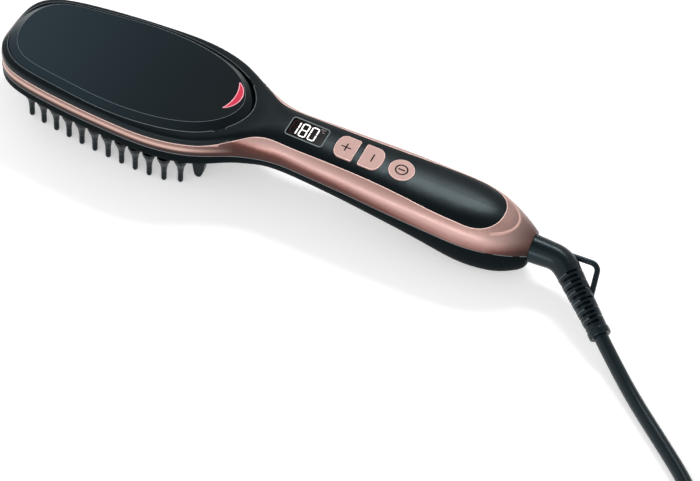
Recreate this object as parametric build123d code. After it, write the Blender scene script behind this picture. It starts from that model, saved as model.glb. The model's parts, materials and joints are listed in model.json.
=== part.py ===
from build123d import *
import os
from math import cos, pi, radians, sin, sqrt, tan

# Heated hair straightening brush. Millimetres. While it is modelled, X runs from the
# head's tip at 0 to the handle's end at LENGTH, Y is across and Z is up from the table
# on which the brush lies on its bristle tips and the foot of its handle. Every piece is
# moved back by half the length when it is written, so the origin is under the middle.

STANDING = (Align.CENTER, Align.CENTER, Align.MIN)     # placed by the middle of its underside

# ---------------------------------------------------------------- driving dimensions
# Outer form
LENGTH = 281.0            # head tip to handle end
HEAD_WIDTH = 69.0         # widest place of the head
NECK_WIDTH = 31.4         # narrowest place, where head and handle meet
GRIP_WIDTH = 37.2         # widest place of the handle
NECK_X = 151.0            # from the head tip to the narrowest place
GRIP_X = 240.0            # from the head tip to the widest place of the handle
TIP_ROUND = 16.0          # length over which the head's end is rounded in plan
TIP_BLUNT = 0.15          # how far the rounding stops short of a point
END_TAPER_X = 245.0       # where the handle starts to close towards its end
COLLAR_R = 8.4            # radius of the handle's end face
PANEL_TOP = 40.9          # height of the panel over the table
SHOULDER_TOP = 38.2       # top of the head shell's shoulder, beside the panel
HANDLE_TOP = 39.75        # handle top over the display
HANDLE_SLOPE = 2.1        # degrees that the handle top falls towards its end
HEAD_BOTTOM = 20.2        # underside of the head shell
NECK_BOTTOM = 15.6        # underside of the neck
SWIVEL_Z = 18.5           # height of the swivel's axis
EDGE_DROP = 6.6           # rounding of the head tip, seen from the side
EDGE_DROP_X = 6.2
EDGE_RISE = 4.3           # the same at its underside
SQUARENESS = 0.85         # how square the head's shoulders are
WALL = 2.0                # wall of all the outer mouldings
FOOT_CUT = 0.15           # depth of the flat worn on the foot of the handle

# Seams of the trim band
SEAM_TOP_Z = 34.1         # upper edge of the band along the head
SEAM_LOW_Z = 27.1         # lower edge of the band along the head
SEAM_END_Z = 21.6         # lower edge of the band at the handle end
TONGUE_WIDTH = 22.9       # black top of the handle, at its narrowest
TONGUE_END_WIDTH = 29.4   # the same near its rounded end
TONGUE_END_X = 265.0
TONGUE_ROUND = 17.0       # length of its rounded end

# Panel
PANEL_X0 = 7.5            # start and end of the panel's flat top
PANEL_X1 = 126.9
PANEL_WIDTH = 54.9
PANEL_FOOT_X0 = 2.8       # start and end of the foot of its bevelled edge
PANEL_FOOT_X1 = 132.4
PANEL_FOOT_WIDTH = 62.1
PANEL_FOOT_Z = 37.6       # where the bevel meets the shoulder
PANEL_SEAT_Z = 36.1       # underside of the panel
PANEL_GAP = 0.15          # joint round the panel
CEILING = 1.6             # floor of the pocket that takes the panel
LENS_DEPTH = 1.6          # crescent lens let into the panel
CRESCENT_ENDS = (119.2, -5.8, 13.0)  # x and both y of the crescent's points
CRESCENT_X = (124.6, 121.4)          # its outer and inner bow
POINT_GROW = 2.5          # its points move this much farther than its bows as it grows

# Underside of the head
BAY_END = 121.0           # neck end of the opening in the lower shell
BAY_ROUND = 13.0          # rounding of that end
BAY_INSET = 4.2           # from the head's outline to the opening
FRAME_GAP = 0.15          # bristle frame to the opening
FRAME_SINK = 1.2          # frame's underside below the shell's
FRAME_T = 3.2             # frame up to the underside of its lip
LIP_W = 1.0               # lip that hangs the frame in its rebate
LIP_T = 1.6
FRAME_RING = 8.6          # width of the frame's ring
LEDGE_WIDTH = 1.4         # ledge on which the heater plate lies
PLATE_T = 2.0             # heater plate
ROWS = 12                 # rows of bristles
ROW_X0 = 21.5             # first row from the head's tip
ROW_PITCH = 7.75
BRISTLE_R = 1.4           # outer bristle near its tip
BRISTLE_ROOT_R = 2.7      # where it flares into the frame
BRISTLE_INSET = 7.0       # bristle axis to the head's outline, at its widest
BRISTLE_TIP_INSET = 8.4   # the same at the head's tip
SPACER_X = 113.4          # end spacer at the neck end
SPACER_Y = 18.4
SPACER_LOW = 1.4          # its tip stays this far above the bristles' tips
TOOTH_PITCH = 6.4         # heated teeth in a row
TOOTH_T = 2.3             # thickness of a comb row
TOOTH_W = 3.4             # width of a tooth where its cool tip starts
TOOTH_LOW = 7.4           # lower end of the metal tooth
TIP_LOW = 4.4             # lower end of its cool tip
TIP_WALL = 0.55           # wall of the cool tip around the tooth
TIP_LAP = 2.4             # how far the cool tip covers the tooth
VALLEY_Z = 15.6           # bottom of the valleys between the teeth

# Heater
HEATER_SIZE = (38.0, 24.0, 2.4)
HEATER_X = (44.0, 86.0)
SHEET_T = 0.4
CLAMP_T = 0.8
CLAMP_WIDTH = 14.0

# Controls, placed from the display in the plane of the handle's top
DISPLAY_X = 161.7
DISPLAY_SIZE = (19.3, 12.0)
DISPLAY_CORNER = 1.4
PLUS_X = 20.5             # middle of the plus button from the middle of the display
MINUS_X = 34.4
POWER_X = 49.6
BUTTON_LENGTH = 10.8      # along the handle
BUTTON_WIDTH = 14.2
POWER_R = 6.45
BUTTON_GAP = 0.18         # play of a button in its hole
BUTTON_PROUD = 0.25       # height over the handle's top
BUTTON_TRAVEL = 0.5
WINDOW_T = 1.7
RELIEF_Z = -1.75          # inner face of the handle's top under the buttons
FLANGE_T = 0.8            # flange that holds a button in
FLANGE_LIP = 0.9
BOARD_TOP_Z = -6.4
BOARD_T = 1.6
BOARD_WIDTH = 21.0
BOARD_X0 = -27.6
BOARD_X1 = 70.5
SWITCH_SIZE = 6.0
SWITCH_H = 2.5
PLUNGER_R = 1.6
PLUNGER_UP = 0.7          # plunger above its switch at rest
POST_R = 2.0

# Mains board
POWER_BOARD_X = (188.0, 245.0)
POWER_BOARD_Z = 17.0
POWER_BOARD_WIDTH = 18.0

# Swivel
BUSH_R = 8.0
CAVITY_END_X = 266.0      # inner face of the handle's solid end
BUSH_END_X = 277.2
HUB_R = 4.5
HUB_FLANGE_R = 6.4
HUB_PLAY = 0.05           # running fit of the hub in its bush
SWIVEL_GAP = 0.3          # end play of flange and elbow against the bush
HUB_TAIL_X = 251.0
HUB_SHORT = 0.2           # hub ends this far inside the handle's end face
RING_R = 4.2
STUB_R = 7.1              # elbow where it leaves the handle
STUB_PLAY = 0.2

# Elbow, strain relief and loop, in the plane in which the elbow bends
ELBOW_TURN = 43.0         # degrees
ELBOW_ROLL = 18.0         # degrees that this plane dips below level
ELBOW_X = 15.5            # corner of the elbow's axis beyond the handle's end
ELBOW_R = 6.55
ELBOW_BEND = 14.0         # radius of its axis
RELIEF_R0 = 6.45
RELIEF_R1 = 4.9
RELIEF_END = 43.0         # end of the strain relief from the elbow's corner
RELIEF_COLLAR = 3.8
SLOTS = 6
SLOT_W = 1.3
SLOT_PITCH = 4.9
SLOT_START = 9.5
SLOT_ARC = 225.0
SLOT_DEPTH = 2.0
LOOP_R = 1.15
LOOP_CORNER = (32.55, -3.95)
LOOP_START = (14.0, -3.3)
LOOP_END = (35.5, 14.8)
LOOP_BEND = 3.2

# Cord
CORD_R = 3.5
FLOOR_GAP = 0.05
COIL_C = (466.0, -104.0)
COIL_R_OUT = 49.5         # centre of the outermost turn
COIL_PITCH = 7.1
COIL_TURNS = 6.458
COIL_IN_ANGLE = 215.0     # where the lead runs into the coil
COIL_OUT_ANGLE = 20.0     # where the tail leaves it
TIE_W = 9.0
TIE_T = 1.0
PLUG_RELIEF = 16.0
PLUG_BODY = 34.0
PLUG_W = 35.3
PLUG_T = 13.7
PIN_R = 2.0
PIN_LENGTH = 19.0
PIN_SPACING = 19.0

# Screws
SCREW_X = (142.5, 238.5)
SCREW_R = 1.3
SCREW_HEAD_R = 2.5
BOSS_R = 3.2

FRAME_LOW = HEAD_BOTTOM - FRAME_SINK
LIP_LOW = FRAME_LOW + FRAME_T
PARTS = {}


def keep(name, shape):
    """Remembers a finished piece under its name."""
    PARTS[name] = shape
    return shape


# ------------------------------------------------------------------- outline formulas
def smooth(stations, x):
    """Monotone cubic through (position, value) stations, flat beyond both ends."""
    if x <= stations[0][0]:
        return stations[0][1]
    if x >= stations[-1][0]:
        return stations[-1][1]
    steps = [(b[1] - a[1]) / (b[0] - a[0]) for a, b in zip(stations, stations[1:])]
    slopes = [steps[0]]
    for before, after in zip(steps, steps[1:]):
        same = before * after > 0
        slopes.append(2 * before * after / (before + after) if same else 0.0)
    slopes.append(steps[-1])
    i = max(k for k in range(len(steps)) if stations[k][0] <= x)
    (x0, v0), (x1, v1) = stations[i], stations[i + 1]
    h = x1 - x0
    t = (x - x0) / h
    return (
        (1 + 2 * t) * (1 - t) ** 2 * v0
        + t * (1 - t) ** 2 * h * slopes[i]
        + t * t * (3 - 2 * t) * v1
        + t * t * (t - 1) * h * slopes[i + 1]
    )


def quarter(t):
    """Quarter of an ellipse: 0 at t = 0 with an upright tangent, 1 at t = 1."""
    t = min(max(t, 0.0), 1.0)
    return sqrt(1 - (1 - t) ** 2)


# Plan form of the head between its tip and the neck: share of NECK_X, and share of the
# way from the neck's half width to the head's.
HEAD_FORM = [
    (0.0, 0.50), (0.066, 0.52), (0.12, 0.62), (0.172, 0.72), (0.225, 0.79),
    (0.336, 0.895), (0.446, 0.965), (0.563, 1.0), (0.62, 0.985), (0.687, 0.905),
    (0.748, 0.765), (0.785, 0.64), (0.828, 0.465), (0.866, 0.305), (0.905, 0.18),
    (0.94, 0.09), (1.0, 0.0),
]
# The same from the neck to the grip's widest place.
GRIP_FORM = [(0.0, 0.0), (0.15, 0.05), (0.30, 0.20), (0.44, 0.44), (0.72, 0.84), (1.0, 1.0)]


def end_share(x, start, end):
    """0 at start, 1 at end and beyond, 0 before start."""
    return min(max((x - start) / (end - start), 0.0), 1.0)


def half_width(x, inset=0.0):
    """Half width of the outer form at x, or of its cavity with an inset."""
    neck, head, grip = NECK_WIDTH / 2, HEAD_WIDTH / 2, GRIP_WIDTH / 2
    if x <= NECK_X:
        w = neck + (head - neck) * smooth(HEAD_FORM, x / NECK_X)
    else:
        w = neck + (grip - neck) * smooth(GRIP_FORM, (x - NECK_X) / (GRIP_X - NECK_X))
    w = (w - inset) * quarter((x - inset + TIP_BLUNT) / (TIP_ROUND - inset))
    t = end_share(x, END_TAPER_X, LENGTH)
    collar = COLLAR_R - inset
    return collar + (w - collar) * (1 - t * t)


def handle_line(x):
    """Height of the handle's straight top line."""
    return HANDLE_TOP - (x - DISPLAY_X) * tan(radians(HANDLE_SLOPE))


def top_height(x, inset=0.0):
    """Height of the crown line of the outer form."""
    neck_top = handle_line(NECK_X)
    blend = [(NECK_X - 38, SHOULDER_TOP), (NECK_X - 12, neck_top - 0.1), (NECK_X, neck_top)]
    z = smooth(blend, x) if x < NECK_X else handle_line(x)
    z -= inset + EDGE_DROP * (1 - quarter((x - inset + TIP_BLUNT) / EDGE_DROP_X))
    t = end_share(x, END_TAPER_X, LENGTH)
    rim = SWIVEL_Z + COLLAR_R - inset
    return rim + (z - rim) * (1 - t**3)


BELLY_FORM = [(0.0, 1.0), (0.15, 0.95), (0.38, 0.74), (0.58, 0.45), (0.69, 0.2), (0.77, 0.04), (0.83, 0.0)]
FOOT_ROUND_X = 19.0       # length over which the foot rises to the end face


def bottom_height(x, inset=0.0):
    """Height of the keel line: head underside, neck, then the foot of the handle."""
    if x < NECK_X - 12:
        run = [(0, HEAD_BOTTOM + 0.7), (NECK_X - 45, HEAD_BOTTOM - 0.5)]
        run += [(NECK_X - 27, HEAD_BOTTOM - 1.5), (NECK_X - 12, NECK_BOTTOM)]
        z = smooth(run, x)
    else:
        z = NECK_BOTTOM * smooth(BELLY_FORM, (x - NECK_X + 12) / (LENGTH - NECK_X + 12))
        z -= FOOT_CUT * end_share(x, NECK_X, GRIP_X)
    z += inset + EDGE_RISE * (1 - quarter((x - inset + TIP_BLUNT) / EDGE_DROP_X))
    t = end_share(x, LENGTH - FOOT_ROUND_X, LENGTH)
    return z + (SWIVEL_Z - COLLAR_R + inset - z) * (1 - sqrt(1 - t * t))


def girth_height(x):
    """Height at which the form is widest."""
    run = [(NECK_X - 31, 30.4), (NECK_X + 21, 30.0), (GRIP_X, 25.0), (LENGTH - 19, 22.5), (LENGTH, SWIVEL_Z)]
    return smooth(run, x)


ROUND = 0.5523            # a cubic with this handle length draws a quarter of an ellipse


def fullness(x, upper):
    """Handle length of the quarter curves, from ROUND for an ellipse to 1, and how far
    they are drawn out into a square shoulder."""
    if upper:
        run = [(NECK_X - 31, 0.94), (NECK_X, 0.66), (GRIP_X, 0.76), (LENGTH, ROUND)]
    else:
        run = [(NECK_X - 31, 0.90), (NECK_X - 11, 0.69), (LENGTH - 19, 0.69), (LENGTH, ROUND)]
    square = [(NECK_X - 38, SQUARENESS), (NECK_X - 8, 0.0)]
    return smooth(run, x), smooth(square, x)


def quarter_curve(k, q):
    """Control points of a quintic from (0, 1) to (1, 0): a cubic with handle length k,
    with its middle points drawn towards the corner (1, 1) by the share q."""
    cubic = [(0.6 * k, 1.0), (0.6 * k + 0.3, 0.7 + 0.3 * k)]
    cubic += [(b, a) for a, b in reversed(cubic)]
    drawn = [(a + q * (1 - a), b + q * (1 - b)) for a, b in cubic]
    return [(0.0, 1.0), *drawn, (1.0, 0.0)]


def section(x, inset=0.0):
    """Closed cross-section at x: four quarter curves that meet at crown, sides and keel."""
    w, mid = half_width(x, inset), girth_height(x)
    up, down = top_height(x, inset) - mid, bottom_height(x, inset) - mid
    edges = []
    for side, rise, order in ((-1, up, -1), (1, up, 1), (1, down, -1), (-1, down, 1)):
        curve = quarter_curve(*fullness(x, rise > 0))[::order]
        edges.append(Edge.make_bezier(*[Vector(x, side * w * a, mid + rise * b) for a, b in curve]))
    return Wire(edges)


def body_loft(start, end, inset=0.0):
    """Outer form, or its cavity, from start to end along the brush."""
    share = [0, 0.004, 0.012, 0.025, 0.045, 0.075, 0.115, 0.17, 0.25, 0.36]
    share += [0.48, 0.60, 0.69, 0.76, 0.82, 0.87, 0.91, 0.955, 1]
    stops = [start + (NECK_X - start) * s for s in share]
    grip = [0.12, 0.26, 0.40, 0.54, 0.66, 0.76, 0.84, 0.89, 0.93, 0.96, 0.985, 1]
    if end < LENGTH:
        grip = [0.14, 0.30, 0.46, 0.62, 0.76, 0.88, 1]
    stops += [NECK_X + (end - NECK_X) * s for s in grip]
    return Solid.make_loft([section(x, inset) for x in stops])


def mirrored_face(points, z=0.0):
    """Face of a closed outline that is symmetric in Y, from its upper half's points."""
    upper = Edge.make_spline(
        [Vector(x, y, z) for x, y in points], tangents=[Vector(0, 1, 0), Vector(0, -1, 0)], scale=False
    )
    return Face(Wire([upper, upper.mirror(Plane.XZ)]))


def slab(face, z0, z1):
    """Face, drawn at height 0, as a slab from z0 to z1."""
    return Pos(0, 0, z0) * extrude(face, amount=z1 - z0, dir=(0, 0, 1))


# Egg outline of the panel: share of its length, share of its half width.
EGG = [
    (0.0, 0.0), (0.009, 0.29), (0.031, 0.50), (0.0796, 0.70), (0.147, 0.806), (0.255, 0.882),
    (0.373, 0.951), (0.498, 0.999), (0.624, 0.991), (0.741, 0.922), (0.852, 0.772),
    (0.9506, 0.474), (1.0, 0.0),
]


def egg_face(x0, x1, width):
    return mirrored_face([(x0 + (x1 - x0) * u, width / 2 * v) for u, v in EGG])


def bay_half_width(x, inset):
    """Half width of the opening under the head at x, this far inside the head's outline."""
    w = (half_width(x) / quarter((x + TIP_BLUNT) / TIP_ROUND) - inset)
    start, end = inset, BAY_END - (inset - BAY_INSET)
    return w * quarter((x - start) / (TIP_ROUND - 2)) * quarter((end - x) / BAY_ROUND)


def bay_face(inset):
    start, end = inset, BAY_END - (inset - BAY_INSET)
    share = [0, 0.008, 0.03, 0.07, 0.13, 0.25, 0.4, 0.55, 0.7, 0.8, 0.88, 0.94, 0.975, 0.994, 1]
    stops = [start + (end - start) * s for s in share]
    return mirrored_face([(x, bay_half_width(x, inset)) for x in stops])


# Flare of the black top towards the head: step from NECK_X, and what it is wider by.
TONGUE_FLARE = [
    (-60, 50), (-33, 24), (-28, 16), (-24.5, 11.8), (-19.5, 8.4), (-14.4, 4.5),
    (-12, 2.9), (-7, 0.65), (3, 0),
]


def tongue_half_width(x):
    """Half width of the black top at x: wide over the head, narrow along the handle."""
    low, high = TONGUE_WIDTH / 2, TONGUE_END_WIDTH / 2
    run = [(NECK_X + step, low + wider) for step, wider in TONGUE_FLARE]
    run += [(NECK_X + 26, low + 0.2), (NECK_X + 64, low + 0.5 * (high - low)), (GRIP_X, high)]
    return smooth(run, x)


def tongue_face():
    start = TONGUE_END_X - TONGUE_ROUND
    stops = [-10] + [NECK_X + step for step, wider in TONGUE_FLARE]
    stops += [NECK_X + 26, NECK_X + 64, GRIP_X, start]
    points = [Vector(x, tongue_half_width(x), 0) for x in stops]
    side = Edge.make_spline(points, tangents=[Vector(1, 0, 0), Vector(1, 0, 0)], scale=False)
    w = tongue_half_width(start)
    top = Edge.make_bezier(
        Vector(start, w, 0), Vector(start + TONGUE_ROUND * 0.62, w, 0),
        Vector(TONGUE_END_X, w * 0.62, 0), Vector(TONGUE_END_X, 0, 0),
    )
    low_side, low_top = side.mirror(Plane.XZ), top.mirror(Plane.XZ)
    back = Edge.make_line(low_side @ 0, side @ 0)
    return Face(Wire([side, top, low_top, low_side, back]))


def upward(face, amount):
    """Face raised by an amount, whichever way it faces."""
    return extrude(face, amount=amount, dir=(0, 0, 1))


def side_block(line, top):
    """Everything above a height line (x, z), across the whole width, up to top."""
    start, end = line[0][0], line[-1][0]
    edge = Edge.make_spline([Vector(x, -60, z) for x, z in line])
    outline = Wire([
        edge,
        Edge.make_line(Vector(end, -60, line[-1][1]), Vector(end, -60, top)),
        Edge.make_line(Vector(end, -60, top), Vector(start, -60, top)),
        Edge.make_line(Vector(start, -60, top), Vector(start, -60, line[0][1])),
    ])
    return extrude(Face(outline), amount=120, dir=(0, 1, 0))


def upper_seam_block():
    """Region above the trim band's upper edge."""
    line = [(-10, SEAM_TOP_Z), (40, SEAM_TOP_Z), (NECK_X - 60, SEAM_TOP_Z), (NECK_X - 30, SEAM_TOP_Z)]
    line += [(NECK_X - 15, SEAM_TOP_Z - 1.5), (NECK_X + 10, SEAM_TOP_Z - 7), (NECK_X + 50, SEAM_TOP_Z - 9.5)]
    line += [(LENGTH + 10, SEAM_TOP_Z - 12)]
    return side_block(line, 60)


def lower_seam_block():
    """Region above the trim band's lower edge."""
    drop = SEAM_LOW_Z - SEAM_END_Z
    line = [(-10, SEAM_LOW_Z), (60, SEAM_LOW_Z), (NECK_X - 10, SEAM_LOW_Z)]
    line += [(NECK_X + 20, SEAM_LOW_Z - 0.06 * drop)]
    line += [(NECK_X + 50, SEAM_LOW_Z - 0.27 * drop), (GRIP_X, SEAM_LOW_Z - 0.69 * drop)]
    line += [(LENGTH - 12, SEAM_END_Z), (LENGTH + 10, SEAM_END_Z - 1.5)]
    return side_block(line, 60)


def deck(x=0.0, y=0.0, z=0.0):
    """Place in the plane of the handle's top, with its origin over the display."""
    return Location((DISPLAY_X, 0, HANDLE_TOP), (0, HANDLE_SLOPE, 0)) * Pos(x, y, z)


def rod(x, y, z0, z1, r):
    """Upright round rod."""
    return Pos(x, y, z0) * Cylinder(r, z1 - z0, align=STANDING)


def lengthwise(x0, x1, r, z=SWIVEL_Z, y=0.0):
    """Round rod along X."""
    return Location((x0, y, z), (0, 90, 0)) * Cylinder(
        r, x1 - x0, align=STANDING
    )


# ------------------------------------------------------------------------ the mouldings
def shells():
    """Top housing, trim band and lower shell, cut from one hollow form along the seams."""
    outer = body_loft(0, LENGTH)
    inner = body_loft(WALL, CAVITY_END_X, WALL)
    form = outer - inner
    form -= Pos(LENGTH / 2, 0, -10) * Box(2 * LENGTH, 100, 20)
    crown = upper_seam_block() & slab(tongue_face(), -20, 60)
    above = lower_seam_block()
    return outer, crown, form & crown, (form & above) - crown, form - above


def build_housing():
    outer, crown, top, band, lower = shells()
    # The solid end of the handle: seat of the bush, and the mouth for the elbow.
    bore = lengthwise(CAVITY_END_X - 1, BUSH_END_X, BUSH_R)
    bore += lengthwise(BUSH_END_X, LENGTH + 1, STUB_R + STUB_PLAY)
    band, lower = band - bore, lower - bore

    # Pocket for the panel, with its floor hung from the shoulder.
    foot = egg_face(PANEL_FOOT_X0, PANEL_FOOT_X1, PANEL_FOOT_WIDTH)
    wide = egg_face(PANEL_FOOT_X0 - PANEL_GAP, PANEL_FOOT_X1 + PANEL_GAP, PANEL_FOOT_WIDTH + 2 * PANEL_GAP)
    floor_face = egg_face(PANEL_FOOT_X0 - 0.8, PANEL_FOOT_X1 + 0.8, PANEL_FOOT_WIDTH + 1.6)
    top += slab(floor_face, PANEL_SEAT_Z - CEILING, SHOULDER_TOP) & outer & crown
    top -= slab(wide, PANEL_SEAT_Z, 60)

    # Display window, buttons and the flat relief on the inner face behind them.
    window = RectangleRounded(DISPLAY_SIZE[0] + 0.3, DISPLAY_SIZE[1] + 0.3, DISPLAY_CORNER)
    start, end = -DISPLAY_SIZE[0] / 2 - 2.4, POWER_X + POWER_R + 2.4
    relief = Rectangle(end - start, BUTTON_WIDTH + 2 * FLANGE_LIP + 1.2)
    top -= deck((start + end) / 2, 0, RELIEF_Z - 4) * extrude(relief, 4)
    top -= deck(0, 0, -8) * extrude(window, 12)
    for centre, outline in BUTTONS:
        top -= deck(centre, 0, -8) * upward(outline(BUTTON_GAP), 12)

    # Posts that hold the control board down, and the two screw columns.
    for x in (BOARD_X0 + 3, BOARD_X1 - 3):
        for y in (-7.5, 7.5):
            top += deck(x, y, BOARD_TOP_Z) * extrude(Circle(POST_R), -BOARD_TOP_Z) & outer
    for x in SCREW_X:
        joint = (top_height(x) + bottom_height(x)) / 2
        column = rod(x, 0, joint, top_height(x) - WALL / 2, BOSS_R)
        well = rod(x, 0, bottom_height(x) + WALL / 2, joint, BOSS_R + 1.3)
        top += column - rod(x, 0, joint - 1, joint + 9, SCREW_R - 0.15)
        lower += well
        lower -= rod(x, 0, bottom_height(x) - 5, joint - 3, SCREW_HEAD_R + 0.2)
        lower -= rod(x, 0, joint - 4, joint + 1, SCREW_R + 0.15)

    # Ribs of the lower shell that carry the mains board.
    for x in (POWER_BOARD_X[0] + 6, POWER_BOARD_X[1] - 14):
        for y in (-7.0, 7.0):
            lower += rod(x, y, 2, POWER_BOARD_Z, POST_R) & outer

    # Opening for the bristle frame, with a rebate for its lip.
    lower -= slab(bay_face(BAY_INSET), 0, LIP_LOW + LIP_T)
    lower -= slab(bay_face(BAY_INSET - LIP_W), LIP_LOW, LIP_LOW + LIP_T + 0.8)
    keep("top_housing", top)
    keep("trim_band", band)
    keep("lower_shell", lower)
    return foot


def d_outline(turned):
    """Outline of the plus or minus button: one straight side, the other bowed."""

    def outline(gap=0.0):
        a, b = BUTTON_LENGTH / 2 + gap, BUTTON_WIDTH / 2 + gap
        side = 1 if turned else -1
        shoulder = 0.1 * BUTTON_LENGTH
        flat = Edge.make_line(Vector(-side * a, -b + 0.5), Vector(-side * a, b - 0.5))
        low = Edge.make_line(Vector(-side * (a - 0.5), -b), Vector(side * shoulder, -b))
        high = Edge.make_line(Vector(side * shoulder, b), Vector(-side * (a - 0.5), b))
        bow_low = [(shoulder, -b), (a * 0.8, -b), (a, -b * 0.5), (a, 0)]
        bow_high = [(a, 0), (a, b * 0.5), (a * 0.8, b), (shoulder, b)]
        bow = [Edge.make_bezier(*(Vector(side * p, q) for p, q in half)) for half in (bow_low, bow_high)]
        corners = [
            Edge.make_line(Vector(-side * (a - 0.5), b), Vector(-side * a, b - 0.5)),
            Edge.make_line(Vector(-side * a, -b + 0.5), Vector(-side * (a - 0.5), -b)),
        ]
        return Face(Wire([flat, low, high, *bow, *corners]))

    return outline


def round_outline(gap=0.0):
    return Circle(POWER_R + gap).face()


BUTTONS = [(PLUS_X, d_outline(False)), (MINUS_X, d_outline(True)), (POWER_X, round_outline)]


def build_panel(foot):
    """Glossy panel: an upright foot, then a bevel up to the flat top."""
    foot_wire = Pos(0, 0, PANEL_FOOT_Z) * foot
    top_wire = Pos(0, 0, PANEL_TOP) * egg_face(PANEL_X0, PANEL_X1, PANEL_WIDTH)
    panel = slab(foot, PANEL_SEAT_Z, PANEL_FOOT_Z)
    panel += Solid.make_loft([foot_wire.outer_wire(), top_wire.outer_wire()], ruled=True)
    lens_face = crescent(0.0)
    panel -= slab(crescent(0.12), PANEL_TOP - LENS_DEPTH, PANEL_TOP + 1)
    guide_face = crescent(-0.75)
    panel -= slab(crescent(-0.5), PANEL_SEAT_Z - 1, PANEL_TOP)
    keep("head_panel", panel)
    keep("crescent_lens", slab(lens_face, PANEL_TOP - LENS_DEPTH, PANEL_TOP))
    guide_low = PANEL_SEAT_Z - CEILING - 1.2
    keep("light_guide", slab(guide_face, guide_low, PANEL_TOP - LENS_DEPTH))
    PARTS["top_housing"] -= slab(crescent(-0.5), guide_low - 1, PANEL_SEAT_Z + 1)


def crescent(grow):
    """Crescent of the light, a slim sickle that bows towards the neck."""
    (x_ends, y0, y1), (x_out, x_in) = CRESCENT_ENDS, CRESCENT_X
    x_ends, y0, y1 = x_ends - POINT_GROW * grow, y0 - POINT_GROW * grow, y1 + POINT_GROW * grow
    x_out, x_in = x_out + grow, x_in - grow
    middle = (y0 + y1) / 2 - 0.6
    outer = Edge.make_three_point_arc(Vector(x_ends, y0), Vector(x_out, middle), Vector(x_ends, y1))
    inner = Edge.make_three_point_arc(Vector(x_ends, y1), Vector(x_in, middle), Vector(x_ends, y0))
    return Face(Wire([outer, inner]))


# --------------------------------------------------------------------- bristles and heater
def row_positions():
    return [ROW_X0 + i * ROW_PITCH for i in range(ROWS)]


def bristle_y(x):
    """Distance of the outer bristles from the middle line at x."""
    run = [(ROW_X0, BRISTLE_TIP_INSET), (ROW_X0 + 60, BRISTLE_INSET - 0.8)]
    run += [(ROW_X0 + 77, BRISTLE_INSET - 1.2), (ROW_X0 + 85, BRISTLE_INSET - 0.2)]
    return half_width(x) - smooth(run, x)


def bristle(x, y):
    """Outer bristle: a round pin with a rounded tip that flares like a trumpet at its
    root, and a rib behind it that slopes up towards the heated teeth."""
    root = FRAME_LOW + 0.2
    tip = Edge.make_bezier(Vector(0, 0, 0), Vector(BRISTLE_R, 0, 0), Vector(BRISTLE_R, 0, BRISTLE_R * 1.3))
    corners = [(BRISTLE_R, BRISTLE_R * 1.3), (BRISTLE_R, 12.5), (BRISTLE_R * 1.3, 16.5)]
    corners += [(BRISTLE_ROOT_R, root), (0, root), (0, 0)]
    stem = [Edge.make_line(Vector(a, 0, b), Vector(c, 0, d)) for (a, b), (c, d) in zip(corners, corners[1:])]
    pin = revolve(Face(Wire([tip, *stem])), Axis.Z, 360)
    reach = FRAME_RING - (BRISTLE_INSET - BAY_INSET) - 0.4
    inward = -1 if y > 0 else 1
    rib = Polyline(
        (0, 8.5), (0, root), (inward * reach, root), (inward * reach, root - 1.6), (inward * 2.2, 12.0),
        close=True,
    )
    web = Pos(-0.9, 0, 0) * extrude(make_face(Plane.YZ * rib), amount=1.8, dir=(1, 0, 0))
    return Pos(x, y, 0) * (pin + web)


def end_spacer(y):
    """Blade at the neck end: wide along the brush, rounded at its tip."""
    root, low = FRAME_LOW + 0.2, SPACER_LOW
    front = [(-4.0, root), (-3.4, 12), (-2.6, 6), (-1.9, low + 2)]
    tip = [(-1.9, low + 2), (-1.4, low - 0.6), (1.2, low - 0.6), (2.2, low + 2.2)]
    back = [(2.2, low + 2.2), (3.4, 7), (3.9, 12), (4.0, root)]
    sides = [Edge.make_bezier(*(Vector(u, 0, z) for u, z in side)) for side in (front, tip, back)]
    outline = Wire([*sides, Edge.make_line(Vector(4.0, 0, root), Vector(-4.0, 0, root))])
    blade = extrude(Face(outline), amount=1.5, dir=(0, 1, 0), both=True)
    return Pos(SPACER_X, y, 0) * blade


def build_underside():
    frame = slab(bay_face(BAY_INSET + FRAME_GAP), FRAME_LOW, LIP_LOW)
    frame += slab(bay_face(BAY_INSET - LIP_W + FRAME_GAP), LIP_LOW, LIP_LOW + LIP_T)
    ring_in = BAY_INSET + FRAME_RING
    ledge_z = FRAME_LOW + 1.6
    frame -= slab(bay_face(ring_in), 0, 60)
    frame -= slab(bay_face(ring_in - LEDGE_WIDTH), ledge_z, 60)
    for x in row_positions():
        for y in (-bristle_y(x), bristle_y(x)):
            frame += bristle(x, y)
    for y in (-SPACER_Y, SPACER_Y):
        frame += end_spacer(y)
    keep("bristle_frame", frame)

    plate = slab(bay_face(ring_in - LEDGE_WIDTH + 0.4), ledge_z, ledge_z + PLATE_T)
    caps = []
    for x in row_positions():
        room = bay_half_width(x, ring_in) - 1.2
        side = int((room - TOOTH_W / 2) // TOOTH_PITCH)
        centres = [i * TOOTH_PITCH for i in range(-side, side + 1)]
        plate += comb_row(x, centres, ledge_z)
        caps += [tooth_cap(x, y) for y in centres]
    keep("heater_plate", plate)
    keep("tooth_tips", Compound(children=caps))
    return ledge_z + PLATE_T


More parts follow.
